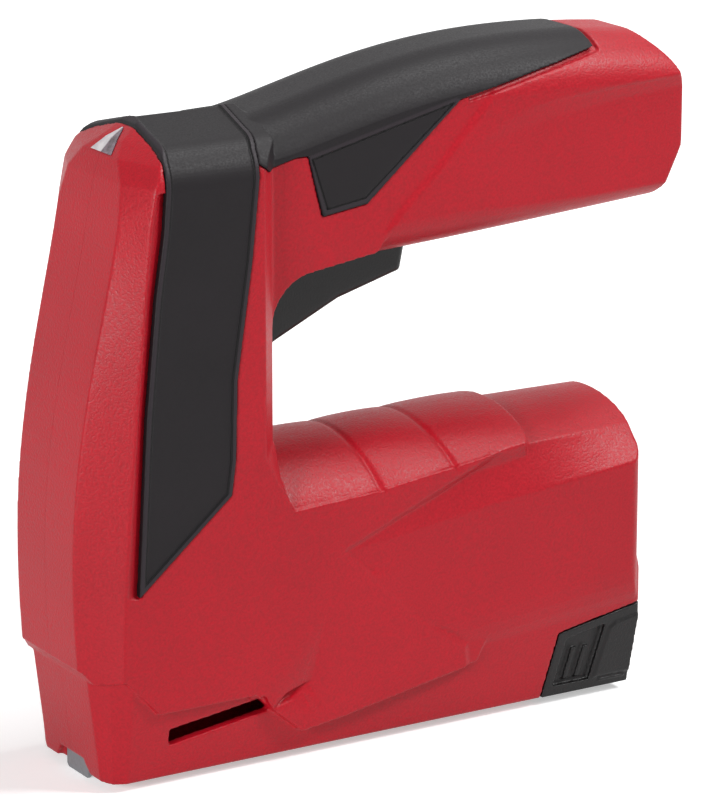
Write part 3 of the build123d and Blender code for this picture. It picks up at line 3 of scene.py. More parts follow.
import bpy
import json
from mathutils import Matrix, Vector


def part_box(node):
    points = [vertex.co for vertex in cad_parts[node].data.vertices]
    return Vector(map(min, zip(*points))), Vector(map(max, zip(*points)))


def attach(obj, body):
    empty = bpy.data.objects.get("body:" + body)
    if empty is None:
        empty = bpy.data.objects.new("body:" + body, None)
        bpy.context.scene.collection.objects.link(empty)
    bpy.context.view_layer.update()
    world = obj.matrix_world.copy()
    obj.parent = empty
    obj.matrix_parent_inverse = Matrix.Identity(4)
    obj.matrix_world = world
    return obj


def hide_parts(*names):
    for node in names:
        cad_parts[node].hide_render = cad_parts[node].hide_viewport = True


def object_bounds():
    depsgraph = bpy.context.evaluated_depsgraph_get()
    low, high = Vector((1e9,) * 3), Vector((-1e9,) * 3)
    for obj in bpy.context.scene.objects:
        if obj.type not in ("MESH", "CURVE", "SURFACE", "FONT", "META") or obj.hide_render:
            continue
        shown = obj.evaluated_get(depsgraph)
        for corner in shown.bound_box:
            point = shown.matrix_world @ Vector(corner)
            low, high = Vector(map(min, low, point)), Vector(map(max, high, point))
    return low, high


bl_info = {
    "name": "Cordless Tacker",
    "version": (1, 0, 0),
    "blender": (4, 5, 0),
    "location": "View3D > Sidebar > Tacker",
    "description": "Builds the looks of a cordless tacker around its frame",
    "category": "Add Mesh",
}

import json
import math

import bmesh
import bpy
import numpy as np
from bpy.props import FloatProperty, FloatVectorProperty, IntProperty, PointerProperty
from mathutils import Vector

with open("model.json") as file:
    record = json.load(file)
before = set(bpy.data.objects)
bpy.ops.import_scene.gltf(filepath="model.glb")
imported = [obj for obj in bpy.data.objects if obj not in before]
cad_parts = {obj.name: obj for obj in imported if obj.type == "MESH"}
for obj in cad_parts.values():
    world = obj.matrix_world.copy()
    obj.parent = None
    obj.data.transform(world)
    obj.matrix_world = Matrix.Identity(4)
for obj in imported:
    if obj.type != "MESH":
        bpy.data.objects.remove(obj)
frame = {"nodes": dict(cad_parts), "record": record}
CAD_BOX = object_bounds()
NODES = frame["nodes"]
MM = 0.001
TRIANGLES = 190000             # most triangles that one piece keeps
CASING_TRIANGLES = 342000      # most triangles of both casing halves before they are parted
SEAM_HALF = 0.03 * MM          # half of the hairline gap between the casing halves
SEAM_LAP = 0.02 * MM           # how far they are lapped while they are one piece
SIDE_FROM = 15 * MM            # what lies further from the middle plane counts as a side
PLASTIC_SHINE, RUBBER_SHINE = 0.24, 0.2    # strength of the reflection seen straight on

# Side views of the strap and of the handle's grooved panel, and widths across their borders, in mm
STRAP = [(2.6, 49.0), (5.3, 93.9), (8.2, 123.1), (10.6, 139.0), (11.4, 149.0), (11.9, 156.0),
         (15.4, 166.5), (42.3, 166.5), (37.6, 156.0), (37.0, 149.6), (34.9, 129.7), (30.5, 100.3),
         (29.9, 80.0), (28.7, 71.2)]
PANEL = [(54.2, 151.6), (58.6, 138.3), (69.7, 139.9), (96.2, 161.6)]
BEAD = 1.4
GROOVE_HALF = 0.28
PANEL_LINE = 0.25              # the panel's groove runs this far inside its outline

# Side views of the raised plate and bar on each side of the magazine cap, and of the dent behind the
# staple window, in mm, with how far each rises and how wide its slope is
CAP_PLATE = [(138.9, 2.6), (142.8, 16.6), (145.0, 18.2), (170.0, 22.8), (170.0, 2.6)]
CAP_BAR = [(141.0, 1.5), (141.3, 2.3), (149.6, 2.3), (149.4, 1.5)]
CAP_PLATE_RISE, CAP_PLATE_SLOPE = 0.45, 0.7
CAP_BAR_RISE, CAP_BAR_SLOPE = 0.4, 0.35
NOTCH = [(39.6, 13.2), (44.0, 17.2), (52.0, 19.8), (46.0, 15.0)]
NOTCH_RISE, NOTCH_SLOPE = -1.6, 0.9

# Valleys between the finger pads: distance along the tool and how far the line sweeps back at the
# sides, then the pads' height range, their half-width and the valleys' depth and half-width, in mm
PAD_VALLEYS = [(69.4, 2.5), (91.4, 2.5)]
PAD_LOW, PAD_HIGH = 65.0, 85.0
PAD_HALF = 22.5
VALLEY_DEPTH, VALLEY_HALF = 0.45, 0.8


# ---- Colour and nodes -------------------------------------------------------------------

def colour(code):
    """Linear red, green and blue of an sRGB hex value."""
    parts = [int(code[place:place + 2], 16) / 255 for place in (1, 3, 5)]
    return [part / 12.92 if part <= 0.04045 else ((part + 0.055) / 1.055) ** 2.4 for part in parts]


def add(tree, kind, settings=None, inputs=None):
    """Adds a node; an input is a value or the socket that feeds it."""
    node = tree.nodes.new(kind)
    for key, value in (settings or {}).items():
        setattr(node, key, value)
    for key, value in (inputs or {}).items():
        if isinstance(value, bpy.types.NodeSocket):
            tree.links.new(value, node.inputs[key])
        else:
            node.inputs[key].default_value = value
    return node


def finish_of(name, values):
    """New material with its shader set to the given values."""
    material = bpy.data.materials.new(name)
    material.use_nodes = True
    tree = material.node_tree
    shader = tree.nodes["Principled BSDF"]
    for key, value in values.items():
        shader.inputs[key].default_value = value
    return material, tree, shader


def place(tree):
    """Position on the piece, in metres."""
    return add(tree, "ShaderNodeTexCoord").outputs["Object"]


def noise(tree, size, detail=2.0, where=None):
    """Noise whose spots are about the given size in metres."""
    return add(tree, "ShaderNodeTexNoise", inputs={
        "Vector": where or place(tree), "Scale": 1.0 / size, "Detail": detail}).outputs["Fac"]


def between(tree, value, low, high, start=0.3, end=0.7):
    """Maps a pattern onto a range of numbers."""
    return add(tree, "ShaderNodeMapRange", inputs={
        "Value": value, "From Min": start, "From Max": end, "To Min": low, "To Max": high}).outputs["Result"]


def blended(tree, value, first, second, start=0.3, end=0.7):
    """Mixes two linear colours by a pattern."""
    ramp = add(tree, "ShaderNodeValToRGB", inputs={"Fac": value})
    ramp.color_ramp.elements[0].position = start
    ramp.color_ramp.elements[1].position = end
    ramp.color_ramp.elements[0].color = (*first, 1)
    ramp.color_ramp.elements[1].color = (*second, 1)
    return ramp.outputs["Color"]


def scaled(code, factor):
    """Linear colour made lighter or darker."""
    return [min(1.0, part * factor) for part in code]


# ---- Materials --------------------------------------------------------------------------

def moulded_abs(name, base, grain, roughness):
    """Injection-moulded ABS from a spark-eroded mould: even fine pits that scatter the light
    into a soft, slightly sparkling sheen. Real pits are about 0.15 mm, drawn coarser to show.
    The matt sleeve, board and small mouldings inside take it too, each with its own grain."""
    material, tree, shader = finish_of(name, {"IOR": 1.54, "Specular IOR Level": PLASTIC_SHINE})
    pits = noise(tree, grain * MM, 3.0)
    broad = noise(tree, 40 * MM, 2.0)
    even = blended(tree, broad, scaled(base, 0.94), scaled(base, 1.05))
    fleck = blended(tree, pits, (0.84, 0.84, 0.84), (1.16, 1.16, 1.16))
    both = add(tree, "ShaderNodeMix", {"data_type": "RGBA", "blend_type": "MULTIPLY"},
               {"Factor": 1.0, 6: even, 7: fleck})
    tree.links.new(both.outputs[2], shader.inputs["Base Color"])
    tree.links.new(between(tree, pits, roughness - 0.08, roughness + 0.10), shader.inputs["Roughness"])
    bump = add(tree, "ShaderNodeBump", inputs={"Height": pits, "Strength": 0.6, "Distance": 0.18 * MM})
    tree.links.new(bump.outputs["Normal"], shader.inputs["Normal"])
    return material


def along_line(tree, attribute, middle, half):
    """One on a line at a given value of a piece's own measure, falling to zero at its sides."""
    measure = add(tree, "ShaderNodeAttribute", {"attribute_name": attribute}).outputs["Fac"]
    away = add(tree, "ShaderNodeMath", {"operation": "SUBTRACT"}, {0: measure, 1: middle})
    width = add(tree, "ShaderNodeMath", {"operation": "ABSOLUTE"}, {0: away.outputs[0]})
    return between(tree, width.outputs[0], 1.0, 0.0, 0.4 * half, half)


def moulded_rubber(name, base):
    """Overmoulded thermoplastic elastomer: charcoal, dry to the touch, with a broad dim sheen
    and a very fine grain. Real grain is about 0.1 mm, drawn coarser to show."""
    material, tree, shader = finish_of(name, {"IOR": 1.5, "Specular IOR Level": RUBBER_SHINE})
    grain = noise(tree, 0.45 * MM, 2.0)
    broad = noise(tree, 22 * MM, 3.0)
    line = along_line(tree, "border", BEAD, GROOVE_HALF)
    rubber = blended(tree, broad, scaled(base, 0.85), scaled(base, 1.15))
    # Painted highlight: the bead beside the groove is lightened to three times the rubber's colour, standing
    # in for the light it catches
    painted_bead_highlight = along_line(tree, "border", BEAD / 2, BEAD / 2)
    rubber_with_painted_highlight = add(tree, "ShaderNodeMix", {"data_type": "RGBA"}, {
        "Factor": painted_bead_highlight, 6: rubber, 7: (*scaled(base, 3.0), 1)})
    # Painted shade: the groove line is darkened to 0.15 of the rubber's colour, as in the shade of a recess;
    # the same line also sinks the surface as a bump
    shade = add(tree, "ShaderNodeMix", {"data_type": "RGBA"}, {
        "Factor": line, 6: rubber_with_painted_highlight.outputs[2], 7: (*scaled(base, 0.15), 1)})
    tree.links.new(shade.outputs[2], shader.inputs["Base Color"])
    tree.links.new(between(tree, grain, 0.44, 0.58), shader.inputs["Roughness"])
    bump = add(tree, "ShaderNodeBump", inputs={"Height": grain, "Strength": 0.25, "Distance": 0.06 * MM})
    sunk = add(tree, "ShaderNodeBump", {"invert": True}, {
        "Height": line, "Strength": 1.0, "Distance": 0.25 * MM, "Normal": bump.outputs["Normal"]})
    tree.links.new(sunk.outputs["Normal"], shader.inputs["Normal"])
    return material


def clear_polycarbonate(name):
    """Polished clear polycarbonate over a frosted light guide: glassy, with painted light making white the
    side that faces away from the casing's side, and painted shade making the other side mauve, as in the
    shade of its middle ridge."""
    material, tree, shader = finish_of(name, {"IOR": 1.585, "Roughness": 0.06, "Transmission Weight": 0.35})
    cloud = noise(tree, 2.5 * MM, 2.0)
    # Painted light and shade: the lens's own +Y side is painted white as if lit, its -Y side mauve as if
    # shaded by the middle ridge
    across = add(tree, "ShaderNodeSeparateXYZ", inputs={"Vector": place(tree)}).outputs["Y"]
    painted_light_side = between(tree, across, 0.0, 1.0, -0.3 * MM, 0.3 * MM)
    painted_shade_mauve = blended(tree, cloud, colour("#4A3540"), colour("#8D7584"), 0.35, 0.65)
    painted_light_white = blended(tree, cloud, colour("#D9D0D6"), colour("#F4F0F3"), 0.35, 0.65)
    both = add(tree, "ShaderNodeMix", {"data_type": "RGBA"}, {"Factor": painted_light_side, 6: painted_shade_mauve, 7: painted_light_white})
    tree.links.new(both.outputs[2], shader.inputs["Base Color"])
    return material


def metal(name, base, roughness, grain, stretch):
    """Bare or plated metal with marks drawn out along its rolling or grinding direction."""
    material, tree, shader = finish_of(name, {"Metallic": 1.0})
    pull = add(tree, "ShaderNodeMapping", inputs={"Vector": place(tree), "Scale": stretch})
    marks = noise(tree, grain * MM, 3.0, pull.outputs["Vector"])
    tree.links.new(blended(tree, marks, scaled(base, 0.82), scaled(base, 1.08)), shader.inputs["Base Color"])
    tree.links.new(between(tree, marks, roughness - 0.07, roughness + 0.09), shader.inputs["Roughness"])
    bump = add(tree, "ShaderNodeBump", inputs={"Height": marks, "Strength": 0.15, "Distance": 0.03 * MM})
    tree.links.new(bump.outputs["Normal"], shader.inputs["Normal"])
    return material


def make_materials(paint):
    """Every finish on the tool, by slot name."""
    return {
        "red_plastic": moulded_abs("red_moulded_abs", paint.casing, 0.60, 0.42),
        "grip_rubber": moulded_rubber("charcoal_elastomer", paint.rubber),
        "black_plastic": moulded_abs("black_moulded_abs", paint.black, 0.50, 0.36),
        "clear_lens": clear_polycarbonate("clear_polycarbonate"),
        "spring_steel": metal("drawn_spring_wire", colour("#8E9094"), 0.30, 0.4, (1, 1, 1)),
        "steel": metal("ground_steel", colour("#B4B6B9"), 0.26, 0.3, (1, 6, 1)),
        "zinc_steel": metal("zinc_plated_sheet", colour("#85868A"), 0.36, 0.8, (1, 1, 1)),
        "black_steel": metal("black_oxide_steel", colour("#3A3B3F"), 0.38, 0.4, (1, 1, 1)),
        "cast_alloy": metal("die_cast_zinc_alloy", colour("#8A8D91"), 0.48, 0.7, (1, 1, 1)),
        "green_board": moulded_abs("solder_masked_board", colour("#1E5A3A"), 0.8, 0.30),
        "cell_wrap": moulded_abs("shrink_sleeve", colour("#2F6FA8"), 1.2, 0.22),
        "nickel": metal("nickel_strip", colour("#C3C1B8"), 0.25, 0.4, (1, 1, 1)),
        "bronze": metal("sintered_bronze", colour("#A47C48"), 0.45, 0.25, (1, 1, 1)),
        "pale_plastic": moulded_abs("natural_acetal", colour("#CFCBC0"), 0.6, 0.40),
        "led_clear": clear_polycarbonate("clear_epoxy"),
    }


MATERIALS = {}


# ---- Mesh helpers -----------------------------------------------------------------------

def merged_copy(node, name):
    """New object with a CAD node's mesh, its loose triangles joined."""
    piece = bpy.data.objects.new(name, NODES[node].data.copy())
    bpy.context.scene.collection.objects.link(piece)
    work = bmesh.new()
    work.from_mesh(piece.data)
    bmesh.ops.remove_doubles(work, verts=work.verts, dist=0.002 * MM)
    work.to_mesh(piece.data)
    work.free()
    return piece


def applied(piece):
    """Turns a piece's modifiers into plain mesh."""
    graph = bpy.context.evaluated_depsgraph_get()
    mesh = bpy.data.meshes.new_from_object(piece.evaluated_get(graph))
    piece.modifiers.clear()
    piece.data = mesh
    return piece


def remoulded(piece, voxel, passes):
    """Rounds a piece's edges as a mould rounds them."""
    remesh = piece.modifiers.new("remesh", "REMESH")
    remesh.mode = "VOXEL"
    remesh.voxel_size = voxel * 1.0
    remesh.use_smooth_shade = True
    soften = piece.modifiers.new("soften", "SMOOTH")
    soften.factor = 0.5
    soften.iterations = passes
    return applied(piece)


def thinned(piece, limit):
    """Brings a piece under a number of triangles."""
    piece.data.calc_loop_triangles()
    count = len(piece.data.loop_triangles)
    if count > limit:
        thin = piece.modifiers.new("thin", "DECIMATE")
        thin.ratio = limit / count
        applied(piece)
    piece.data.shade_smooth()
    return piece


def joined(pieces, name):
    """One object from several that meet on the middle plane, lapped there so that they fuse."""
    work = bmesh.new()
    for piece in pieces:
        work.from_mesh(piece.data)
        bpy.data.objects.remove(piece)
    for vert in work.verts:
        if abs(vert.co.y) < SEAM_HALF + SEAM_LAP:
            vert.co.y = -vert.co.y
    mesh = bpy.data.meshes.new(name)
    work.to_mesh(mesh)
    work.free()
    whole = bpy.data.objects.new(name, mesh)
    bpy.context.scene.collection.objects.link(whole)
    return whole


def half_of(whole, name, side):
    """Closed half of a fused casing, on the side of the middle plane that the sign gives."""
    work = bmesh.new()
    work.from_mesh(whole.data)
    cut = bmesh.ops.bisect_plane(work, geom=work.verts[:] + work.edges[:] + work.faces[:], dist=1e-7,
                                 plane_co=(0, side * SEAM_HALF, 0), plane_no=(0, -side, 0), clear_outer=True)
    rims = [part for part in cut["geom_cut"] if isinstance(part, bmesh.types.BMEdge)]
    bmesh.ops.triangle_fill(work, edges=rims, use_beauty=False, normal=(0, -side, 0))
    bmesh.ops.recalc_face_normals(work, faces=work.faces)
    for face in work.faces:
        face.smooth = True
    for edge in rims:
        if edge.is_valid:
            edge.smooth = False
    if any(len(edge.link_faces) != 2 for edge in work.edges):
        raise RuntimeError(f"{name} is not closed")
    mesh = bpy.data.meshes.new(name)
    work.to_mesh(mesh)
    work.free()
    half = bpy.data.objects.new(name, mesh)
    bpy.context.scene.collection.objects.link(half)
    return half


def coordinates(piece):
    """Corner places and normals of a piece, as arrays."""
    places = np.empty(len(piece.data.vertices) * 3, dtype=np.float32)
    normals = np.empty_like(places)
    piece.data.vertices.foreach_get("co", places)
    piece.data.vertices.foreach_get("normal", normals)
    return places.reshape(-1, 3), normals.reshape(-1, 3)


def depth_inside(places, outline):
    """Distance in mm from each place to an outline in side view, below zero outside it."""
    x, z = places[:, 0] / MM, places[:, 2] / MM
    nearest = np.full(len(x), 1e9)
    inside = np.zeros(len(x), dtype=bool)
    for (x1, z1), (x2, z2) in zip(outline, outline[1:] + outline[:1]):
        run, rise = x2 - x1, z2 - z1
        step = np.clip(((x - x1) * run + (z - z1) * rise) / (run * run + rise * rise), 0, 1)
        nearest = np.minimum(nearest, np.hypot(x - x1 - step * run, z - z1 - step * rise))
        if z1 != z2:
            crosses = (z1 > z) != (z2 > z)
            inside ^= crosses & (x < x1 + (z - z1) * run / rise)
    return np.where(inside, nearest, -nearest)


def embossed(piece, outline, rise, slope, sides=(-1, 1)):
    """Raises, or with a negative rise sinks, an outlined area on the sides of a piece, in mm."""
    places, normals = coordinates(piece)
    share = np.clip(depth_inside(places, outline) / slope, 0, 1)
    facing = np.clip(np.abs(normals[:, 1]) * 2 - 0.6, 0, 1)
    facing *= (np.abs(places[:, 1]) > SIDE_FROM) & np.isin(np.sign(places[:, 1]), sides)
    places[:, 1] += np.sign(normals[:, 1]) * rise * MM * share * facing
    piece.data.vertices.foreach_set("co", places.ravel())
    piece.data.update()


def creased(piece):
    """Presses the rounded valleys across the finger pads."""
    places, normals = coordinates(piece)
    x, z = places[:, 0] / MM, places[:, 2] / MM
    on_pads = (z > PAD_LOW) & (z < PAD_HIGH) & (normals[:, 2] > 0.12)
    for station, sweep in PAD_VALLEYS:
        away = x - station - sweep * (np.abs(places[:, 1]) / MM / PAD_HALF) ** 2
        press = VALLEY_DEPTH * MM * np.exp(-(away / VALLEY_HALF) ** 2) * on_pads
        places -= normals * press[:, None]
    piece.data.vertices.foreach_set("co", places.ravel())
    piece.data.update()


def measured(piece, name, values):
    """Stores a measure on the corners of a piece, for its material."""
    field = piece.data.attributes.new(name, "FLOAT", "POINT")
    field.data.foreach_set("value", values.astype(np.float32))


def dress(piece, slot):
    """Gives a piece the one finish of its slot."""
    piece.data.materials.clear()
    piece.data.materials.append(MATERIALS[slot])


def stands_for(piece, body, slot, *nodes):
    """Lets a finished piece ride on its body in place of CAD nodes."""
    dress(piece, slot)
    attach(piece, body)
    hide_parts(*nodes)


# ---- Screws -----------------------------------------------------------------------------

SCREW_TURN = math.radians(137)     # each driver slot stands at its own angle
SCREW_SIDES = 32
SCREW_HEAD = 2.2                   # height of the head, in mm
SCREW_APART = 7 * MM               # less than the distance between any two screws
# Outside of a screw from its tip to the top of its head: radius and height, in mm
SCREW_RINGS = [(1.35, -12.0), (1.5, -11.6), (1.5, 0.0), (2.9, 0.0), (2.9, 1.2), (2.6, 1.75),
               (2.05, 2.1), (1.75, SCREW_HEAD)]
# The driver recess: height in mm and share of its full reach
SCREW_RECESS = [(2.15, 1.0), (1.0, 0.55)]


def screw_shape():
    """Pan-head screw along +Y with a crossed driver recess, standing at the origin under its head."""
    turns = [math.tau * side / SCREW_SIDES for side in range(SCREW_SIDES)]
    work = bmesh.new()
    loops = [[work.verts.new((radius * MM * math.cos(turn), level * MM, -radius * MM * math.sin(turn)))
              for turn in turns] for radius, level in SCREW_RINGS]
    for level, share in SCREW_RECESS:
        reaches = [share * MM * (0.5 + 1.05 * abs(math.cos(2 * turn)) ** 5) for turn in turns]
        loops.append([work.verts.new((reach * math.cos(turn), level * MM, -reach * math.sin(turn)))
                      for reach, turn in zip(reaches, turns)])
    for low, high in zip(loops, loops[1:]):
        for side in range(SCREW_SIDES):
            after = (side + 1) % SCREW_SIDES
            work.faces.new((low[side], low[after], high[after], high[side]))
    work.faces.new(list(reversed(loops[0])))
    work.faces.new(loops[-1])
    bmesh.ops.recalc_face_normals(work, faces=work.faces)
    mesh = bpy.data.meshes.new("screw")
    work.to_mesh(mesh)
    work.free()
    screw = bpy.data.objects.new("screw", mesh)
    bpy.context.scene.collection.objects.link(screw)
    return screw


def screw_seats(node):
    """Place under the head of each screw in a CAD node."""
    places = np.empty(len(NODES[node].data.vertices) * 3)
    NODES[node].data.vertices.foreach_get("co", places)
    places = places.reshape(-1, 3)
    seats = []
    while len(places):
        near = np.hypot(places[:, 0] - places[0, 0], places[:, 2] - places[0, 2]) < SCREW_APART
        one = places[near]
        middle = (one.min(axis=0) + one.max(axis=0)) / 2
        seats.append((middle[0], one[:, 1].max() - SCREW_HEAD * MM, middle[2]))
        places = places[~near]
    return seats


def screw_tree():
    """Geometry Nodes: one screw on every point, each turned a little further round its axis."""
    tree = bpy.data.node_groups.new("screws", "GeometryNodeTree")
    ports = {}
    for name, kind in (("Geometry", "NodeSocketGeometry"), ("Screw", "NodeSocketObject"),
                       ("Turn", "NodeSocketFloat"), ("Finish", "NodeSocketMaterial")):
        ports[name] = tree.interface.new_socket(name, in_out="INPUT", socket_type=kind).identifier
    tree.interface.new_socket("Geometry", in_out="OUTPUT", socket_type="NodeSocketGeometry")
    entry = add(tree, "NodeGroupInput")
    shape = add(tree, "GeometryNodeObjectInfo", inputs={"Object": entry.outputs["Screw"]})
    count = add(tree, "GeometryNodeInputIndex")
    turn = add(tree, "ShaderNodeMath", {"operation": "MULTIPLY"},
               {0: count.outputs[0], 1: entry.outputs["Turn"]})
    angles = add(tree, "ShaderNodeCombineXYZ", inputs={"Y": turn.outputs[0]})
    copies = add(tree, "GeometryNodeInstanceOnPoints", inputs={
        "Points": entry.outputs["Geometry"], "Instance": shape.outputs["Geometry"],
        "Rotation": angles.outputs[0]})
    real = add(tree, "GeometryNodeRealizeInstances", inputs={"Geometry": copies.outputs[0]})
    finish = add(tree, "GeometryNodeSetMaterial", inputs={
        "Geometry": real.outputs[0], "Material": entry.outputs["Finish"]})
    leave = add(tree, "NodeGroupOutput")
    tree.links.new(finish.outputs[0], leave.inputs[0])
    return tree, ports


# ---- Settings ---------------------------------------------------------------------------

class TackerPaint(bpy.types.PropertyGroup):
    casing: FloatVectorProperty(name="Casing", description="Colour of the moulded casing", subtype="COLOR",
                                default=colour("#A2081B"), min=0, max=1)
    rubber: FloatVectorProperty(name="Rubber", description="Colour of the grips", subtype="COLOR",
                                default=colour("#120E11"), min=0, max=1)
    black: FloatVectorProperty(name="Black parts", description="Colour of the trigger and the magazine cap",
                               subtype="COLOR", default=colour("#0C0A0B"), min=0, max=1)


class TackerSizes(bpy.types.PropertyGroup):
    casing_voxel: FloatProperty(name="Casing detail", description="Cell size of the casing's mesh",
                                unit="LENGTH", default=0.42 * MM, min=0.2 * MM, max=3 * MM, precision=5)
    detail_voxel: FloatProperty(name="Small part detail", description="Cell size of the small parts' meshes",
                                unit="LENGTH", default=0.28 * MM, min=0.1 * MM, max=2 * MM, precision=5)
    softness: IntProperty(name="Edge softness", description="Smoothing passes over the moulded edges",
                          default=2, min=0, max=20)


# ---- Operators --------------------------------------------------------------------------

class TACKER_OT_finishes(bpy.types.Operator):
    """Makes the materials and puts them on the pieces that keep their frame shape"""
    bl_idname = "tacker.finishes"
    bl_label = "Finishes"

    def execute(self, context):
        MATERIALS.update(make_materials(context.scene.tacker_paint))
        for entry in frame["record"]["subparts"]:
            dress(NODES[entry["node"]], entry["material_slot"])
        return {"FINISHED"}


class TACKER_OT_casing(bpy.types.Operator):
    """Builds the two halves of the red casing"""
    bl_idname = "tacker.casing"
    bl_label = "Casing"

    def execute(self, context):
        sizes = context.scene.tacker_sizes
        sides = ("left", "right")
        whole = joined([merged_copy(f"housing_{side}", side) for side in sides], "casing")
        remoulded(whole, sizes.casing_voxel, sizes.softness)
        embossed(whole, NOTCH, NOTCH_RISE, NOTCH_SLOPE, sides=(-1,))
        creased(whole)
        thinned(whole, CASING_TRIANGLES)
        for side in sides:
            sign = 1 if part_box(f"housing_{side}")[1][1] > SEAM_HALF else -1
            shell = half_of(whole, f"casing_{side}", sign)
            stands_for(shell, "main_body", "red_plastic", f"housing_{side}")
        bpy.data.objects.remove(whole)
        return {"FINISHED"}


class TACKER_OT_grips(bpy.types.Operator):
    """Builds the rubber strap and the rubber back of the handle"""
    bl_idname = "tacker.grips"
    bl_label = "Grips"

    def execute(self, context):
        sizes = context.scene.tacker_sizes
        for node, outline, line in (("grip_band", STRAP, BEAD), ("grip_top", PANEL, PANEL_LINE)):
            skin = thinned(remoulded(merged_copy(node, f"{node}_skin"), sizes.detail_voxel, 1), TRIANGLES)
            measured(skin, "border", depth_inside(coordinates(skin)[0], outline) + BEAD - line)
            stands_for(skin, "main_body", "grip_rubber", node)
        return {"FINISHED"}


class TACKER_OT_controls(bpy.types.Operator):
    """Builds the trigger and the magazine cap"""
    bl_idname = "tacker.controls"
    bl_label = "Trigger and cap"

    def execute(self, context):
        voxel = context.scene.tacker_sizes.detail_voxel
        for node, body in (("trigger", "trigger_body"), ("magazine_cap", "magazine_body")):
            part = remoulded(merged_copy(node, f"{node}_moulding"), voxel, 2)
            if node == "magazine_cap":
                embossed(part, CAP_PLATE, CAP_PLATE_RISE, CAP_PLATE_SLOPE)
                embossed(part, CAP_BAR, CAP_BAR_RISE, CAP_BAR_SLOPE)
            thinned(part, TRIANGLES)
            stands_for(part, body, "black_plastic", node)
        return {"FINISHED"}


class TACKER_OT_screws(bpy.types.Operator):
    """Builds the casing screws with their driver recesses"""
    bl_idname = "tacker.screws"
    bl_label = "Casing screws"

    def execute(self, context):
        mesh = bpy.data.meshes.new("screw_seats")
        mesh.from_pydata(screw_seats("housing_screws"), [], [])
        piece = bpy.data.objects.new("casing_screws", mesh)
        context.scene.collection.objects.link(piece)
        shape = screw_shape()
        tree, ports = screw_tree()
        nodes = piece.modifiers.new("screws", "NODES")
        nodes.node_group = tree
        nodes[ports["Screw"]] = shape
        nodes[ports["Turn"]] = SCREW_TURN
        nodes[ports["Finish"]] = MATERIALS["black_steel"]
        applied(piece)
        bpy.data.objects.remove(shape)
        stands_for(piece, "main_body", "black_steel", "housing_screws")
        return {"FINISHED"}


class TACKER_OT_stage(bpy.types.Operator):
    """Builds the floor, the lamps, the world and the camera"""
    bl_idname = "tacker.stage"
    bl_label = "Stage"

    def execute(self, context):
        make_floor(CAD_BOX[0][2])
        make_world()
        middle = Vector([(low + high) / 2 for low, high in zip(*CAD_BOX)])
        for spot, size, power in LAMPS:
            make_lamp(middle, Vector(spot), size, power)
        make_camera(context.scene)
        return {"FINISHED"}


# ---- Stage ------------------------------------------------------------------------------

# Lamps: place from the middle of the tool in metres, size in metres, power in watts
LAMPS = [
    ((-0.80, -0.34, 0.22), 0.22, 5.2),
    ((0.50, -0.50, 0.68), 0.16, 6.0),
    ((0.30, -0.05, 0.85), 0.28, 4.2),
]
WORLD_LIGHT = 0.18             # brightness of the room on the tool
FLOOR_HALF = 3.0               # half the side of the square floor, in metres
FLOOR_LIFT = 0.45              # brings the pale floor up to white where no shadow falls
CAMERA_PLACE = (-0.4640, -0.8899, 0.3736)
CAMERA_AIM = (0.5004, 0.8230, -0.2689)
CAMERA_LENS = 191.25           # focal length in millimetres


def seen(tree):
    """One for the rays that show the backdrop: straight, mirrored and through clear pieces."""
    path = add(tree, "ShaderNodeLightPath")
    shown = path.outputs["Is Camera Ray"]
    for kind in ("Is Glossy Ray", "Is Transmission Ray"):
        either = add(tree, "ShaderNodeMath", {"operation": "MAXIMUM"}, {0: shown, 1: path.outputs[kind]})
        shown = either.outputs[0]
    return shown


def make_floor(height):
    """Pale floor that takes the shadow."""
    mesh = bpy.data.meshes.new("floor")
    corners = [(-1, -1), (1, -1), (1, 1), (-1, 1)]
    mesh.from_pydata([(x * FLOOR_HALF, y * FLOOR_HALF, height) for x, y in corners], [], [(0, 1, 2, 3)])
    floor = bpy.data.objects.new("floor", mesh)
    bpy.context.scene.collection.objects.link(floor)
    material, tree, shader = finish_of("pale_floor", {"Roughness": 0.9, "Specular IOR Level": 0.1})
    tint = blended(tree, noise(tree, 0.4), colour("#E8E8E8"), colour("#ECECEC"))
    tree.links.new(tint, shader.inputs["Base Color"])
    away = add(tree, "ShaderNodeVectorMath", {"operation": "LENGTH"}, {0: place(tree)}).outputs["Value"]
    rise = between(tree, away, FLOOR_LIFT, 1.0, 0.25, 0.9)
    lift = add(tree, "ShaderNodeMath", {"operation": "MULTIPLY"}, {0: seen(tree), 1: rise})
    glow = add(tree, "ShaderNodeEmission", inputs={"Color": (1, 1, 1, 1), "Strength": lift.outputs[0]})
    both = add(tree, "ShaderNodeAddShader", inputs={0: shader.outputs[0], 1: glow.outputs[0]})
    tree.links.new(both.outputs[0], tree.nodes["Material Output"].inputs["Surface"])
    mesh.materials.append(material)


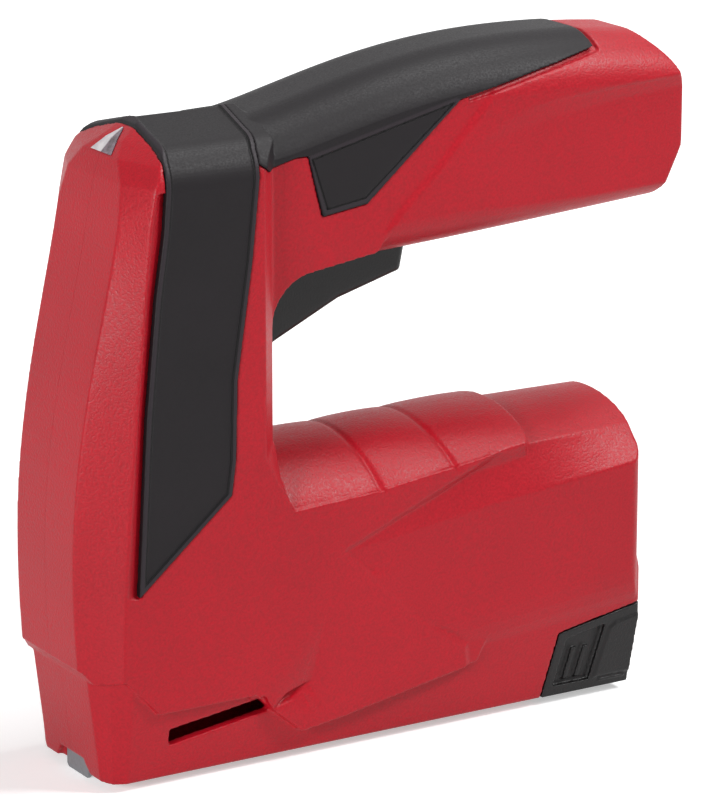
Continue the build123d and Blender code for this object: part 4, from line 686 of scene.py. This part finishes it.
def make_world():
    """White to the eye, softer grey to the tool."""
    world = bpy.data.worlds.new("studio")
    bpy.context.scene.world = world
    world.use_nodes = True
    tree = world.node_tree
    tree.nodes.clear()
    white = add(tree, "ShaderNodeBackground", inputs={"Color": (1, 1, 1, 1), "Strength": 1.0})
    grey = add(tree, "ShaderNodeBackground", inputs={"Color": (1, 1, 1, 1), "Strength": WORLD_LIGHT})
    mix = add(tree, "ShaderNodeMixShader", inputs={0: seen(tree), 1: grey.outputs[0], 2: white.outputs[0]})
    add(tree, "ShaderNodeOutputWorld", inputs={"Surface": mix.outputs[0]})


def make_lamp(middle, spot, size, power):
    """Square soft lamp turned towards the middle of the tool."""
    light = bpy.data.lights.new("softbox", "AREA")
    light.size = size
    light.energy = power
    lamp = bpy.data.objects.new("softbox", light)
    lamp.location = middle + spot
    lamp.rotation_euler = (-spot).to_track_quat("-Z", "Y").to_euler()
    bpy.context.scene.collection.objects.link(lamp)


def make_camera(scene):
    """Long lens, from the front left and a little above."""
    data = bpy.data.cameras.new("camera")
    data.lens = CAMERA_LENS
    data.clip_end = 20
    camera = bpy.data.objects.new("camera", data)
    camera.location = CAMERA_PLACE
    camera.rotation_euler = Vector(CAMERA_AIM).to_track_quat("-Z", "Y").to_euler()
    scene.collection.objects.link(camera)
    scene.camera = camera
    scene.view_settings.view_transform = "Standard"


# ---- Panel and registration -------------------------------------------------------------

STEPS = (TACKER_OT_finishes, TACKER_OT_casing, TACKER_OT_grips, TACKER_OT_controls,
         TACKER_OT_screws, TACKER_OT_stage)


class TACKER_PT_panel(bpy.types.Panel):
    """Lists the tool's settings and build steps"""
    bl_label = "Cordless Tacker"
    bl_space_type = "VIEW_3D"
    bl_region_type = "UI"
    bl_category = "Tacker"

    def draw(self, context):
        for group in (context.scene.tacker_paint, context.scene.tacker_sizes):
            for name in group.__annotations__:
                self.layout.prop(group, name)
        for step in STEPS:
            self.layout.operator(step.bl_idname)


CLASSES = (TackerPaint, TackerSizes) + STEPS + (TACKER_PT_panel,)


def register():
    for kind in CLASSES:
        bpy.utils.register_class(kind)
    bpy.types.Scene.tacker_paint = PointerProperty(type=TackerPaint)
    bpy.types.Scene.tacker_sizes = PointerProperty(type=TackerSizes)


def unregister():
    del bpy.types.Scene.tacker_paint
    del bpy.types.Scene.tacker_sizes
    for kind in reversed(CLASSES):
        bpy.utils.unregister_class(kind)


def main():
    register()
    for step in STEPS:
        group, name = step.bl_idname.split(".")
        getattr(getattr(bpy.ops, group), name)()


if __name__ == "__main__":
    main()
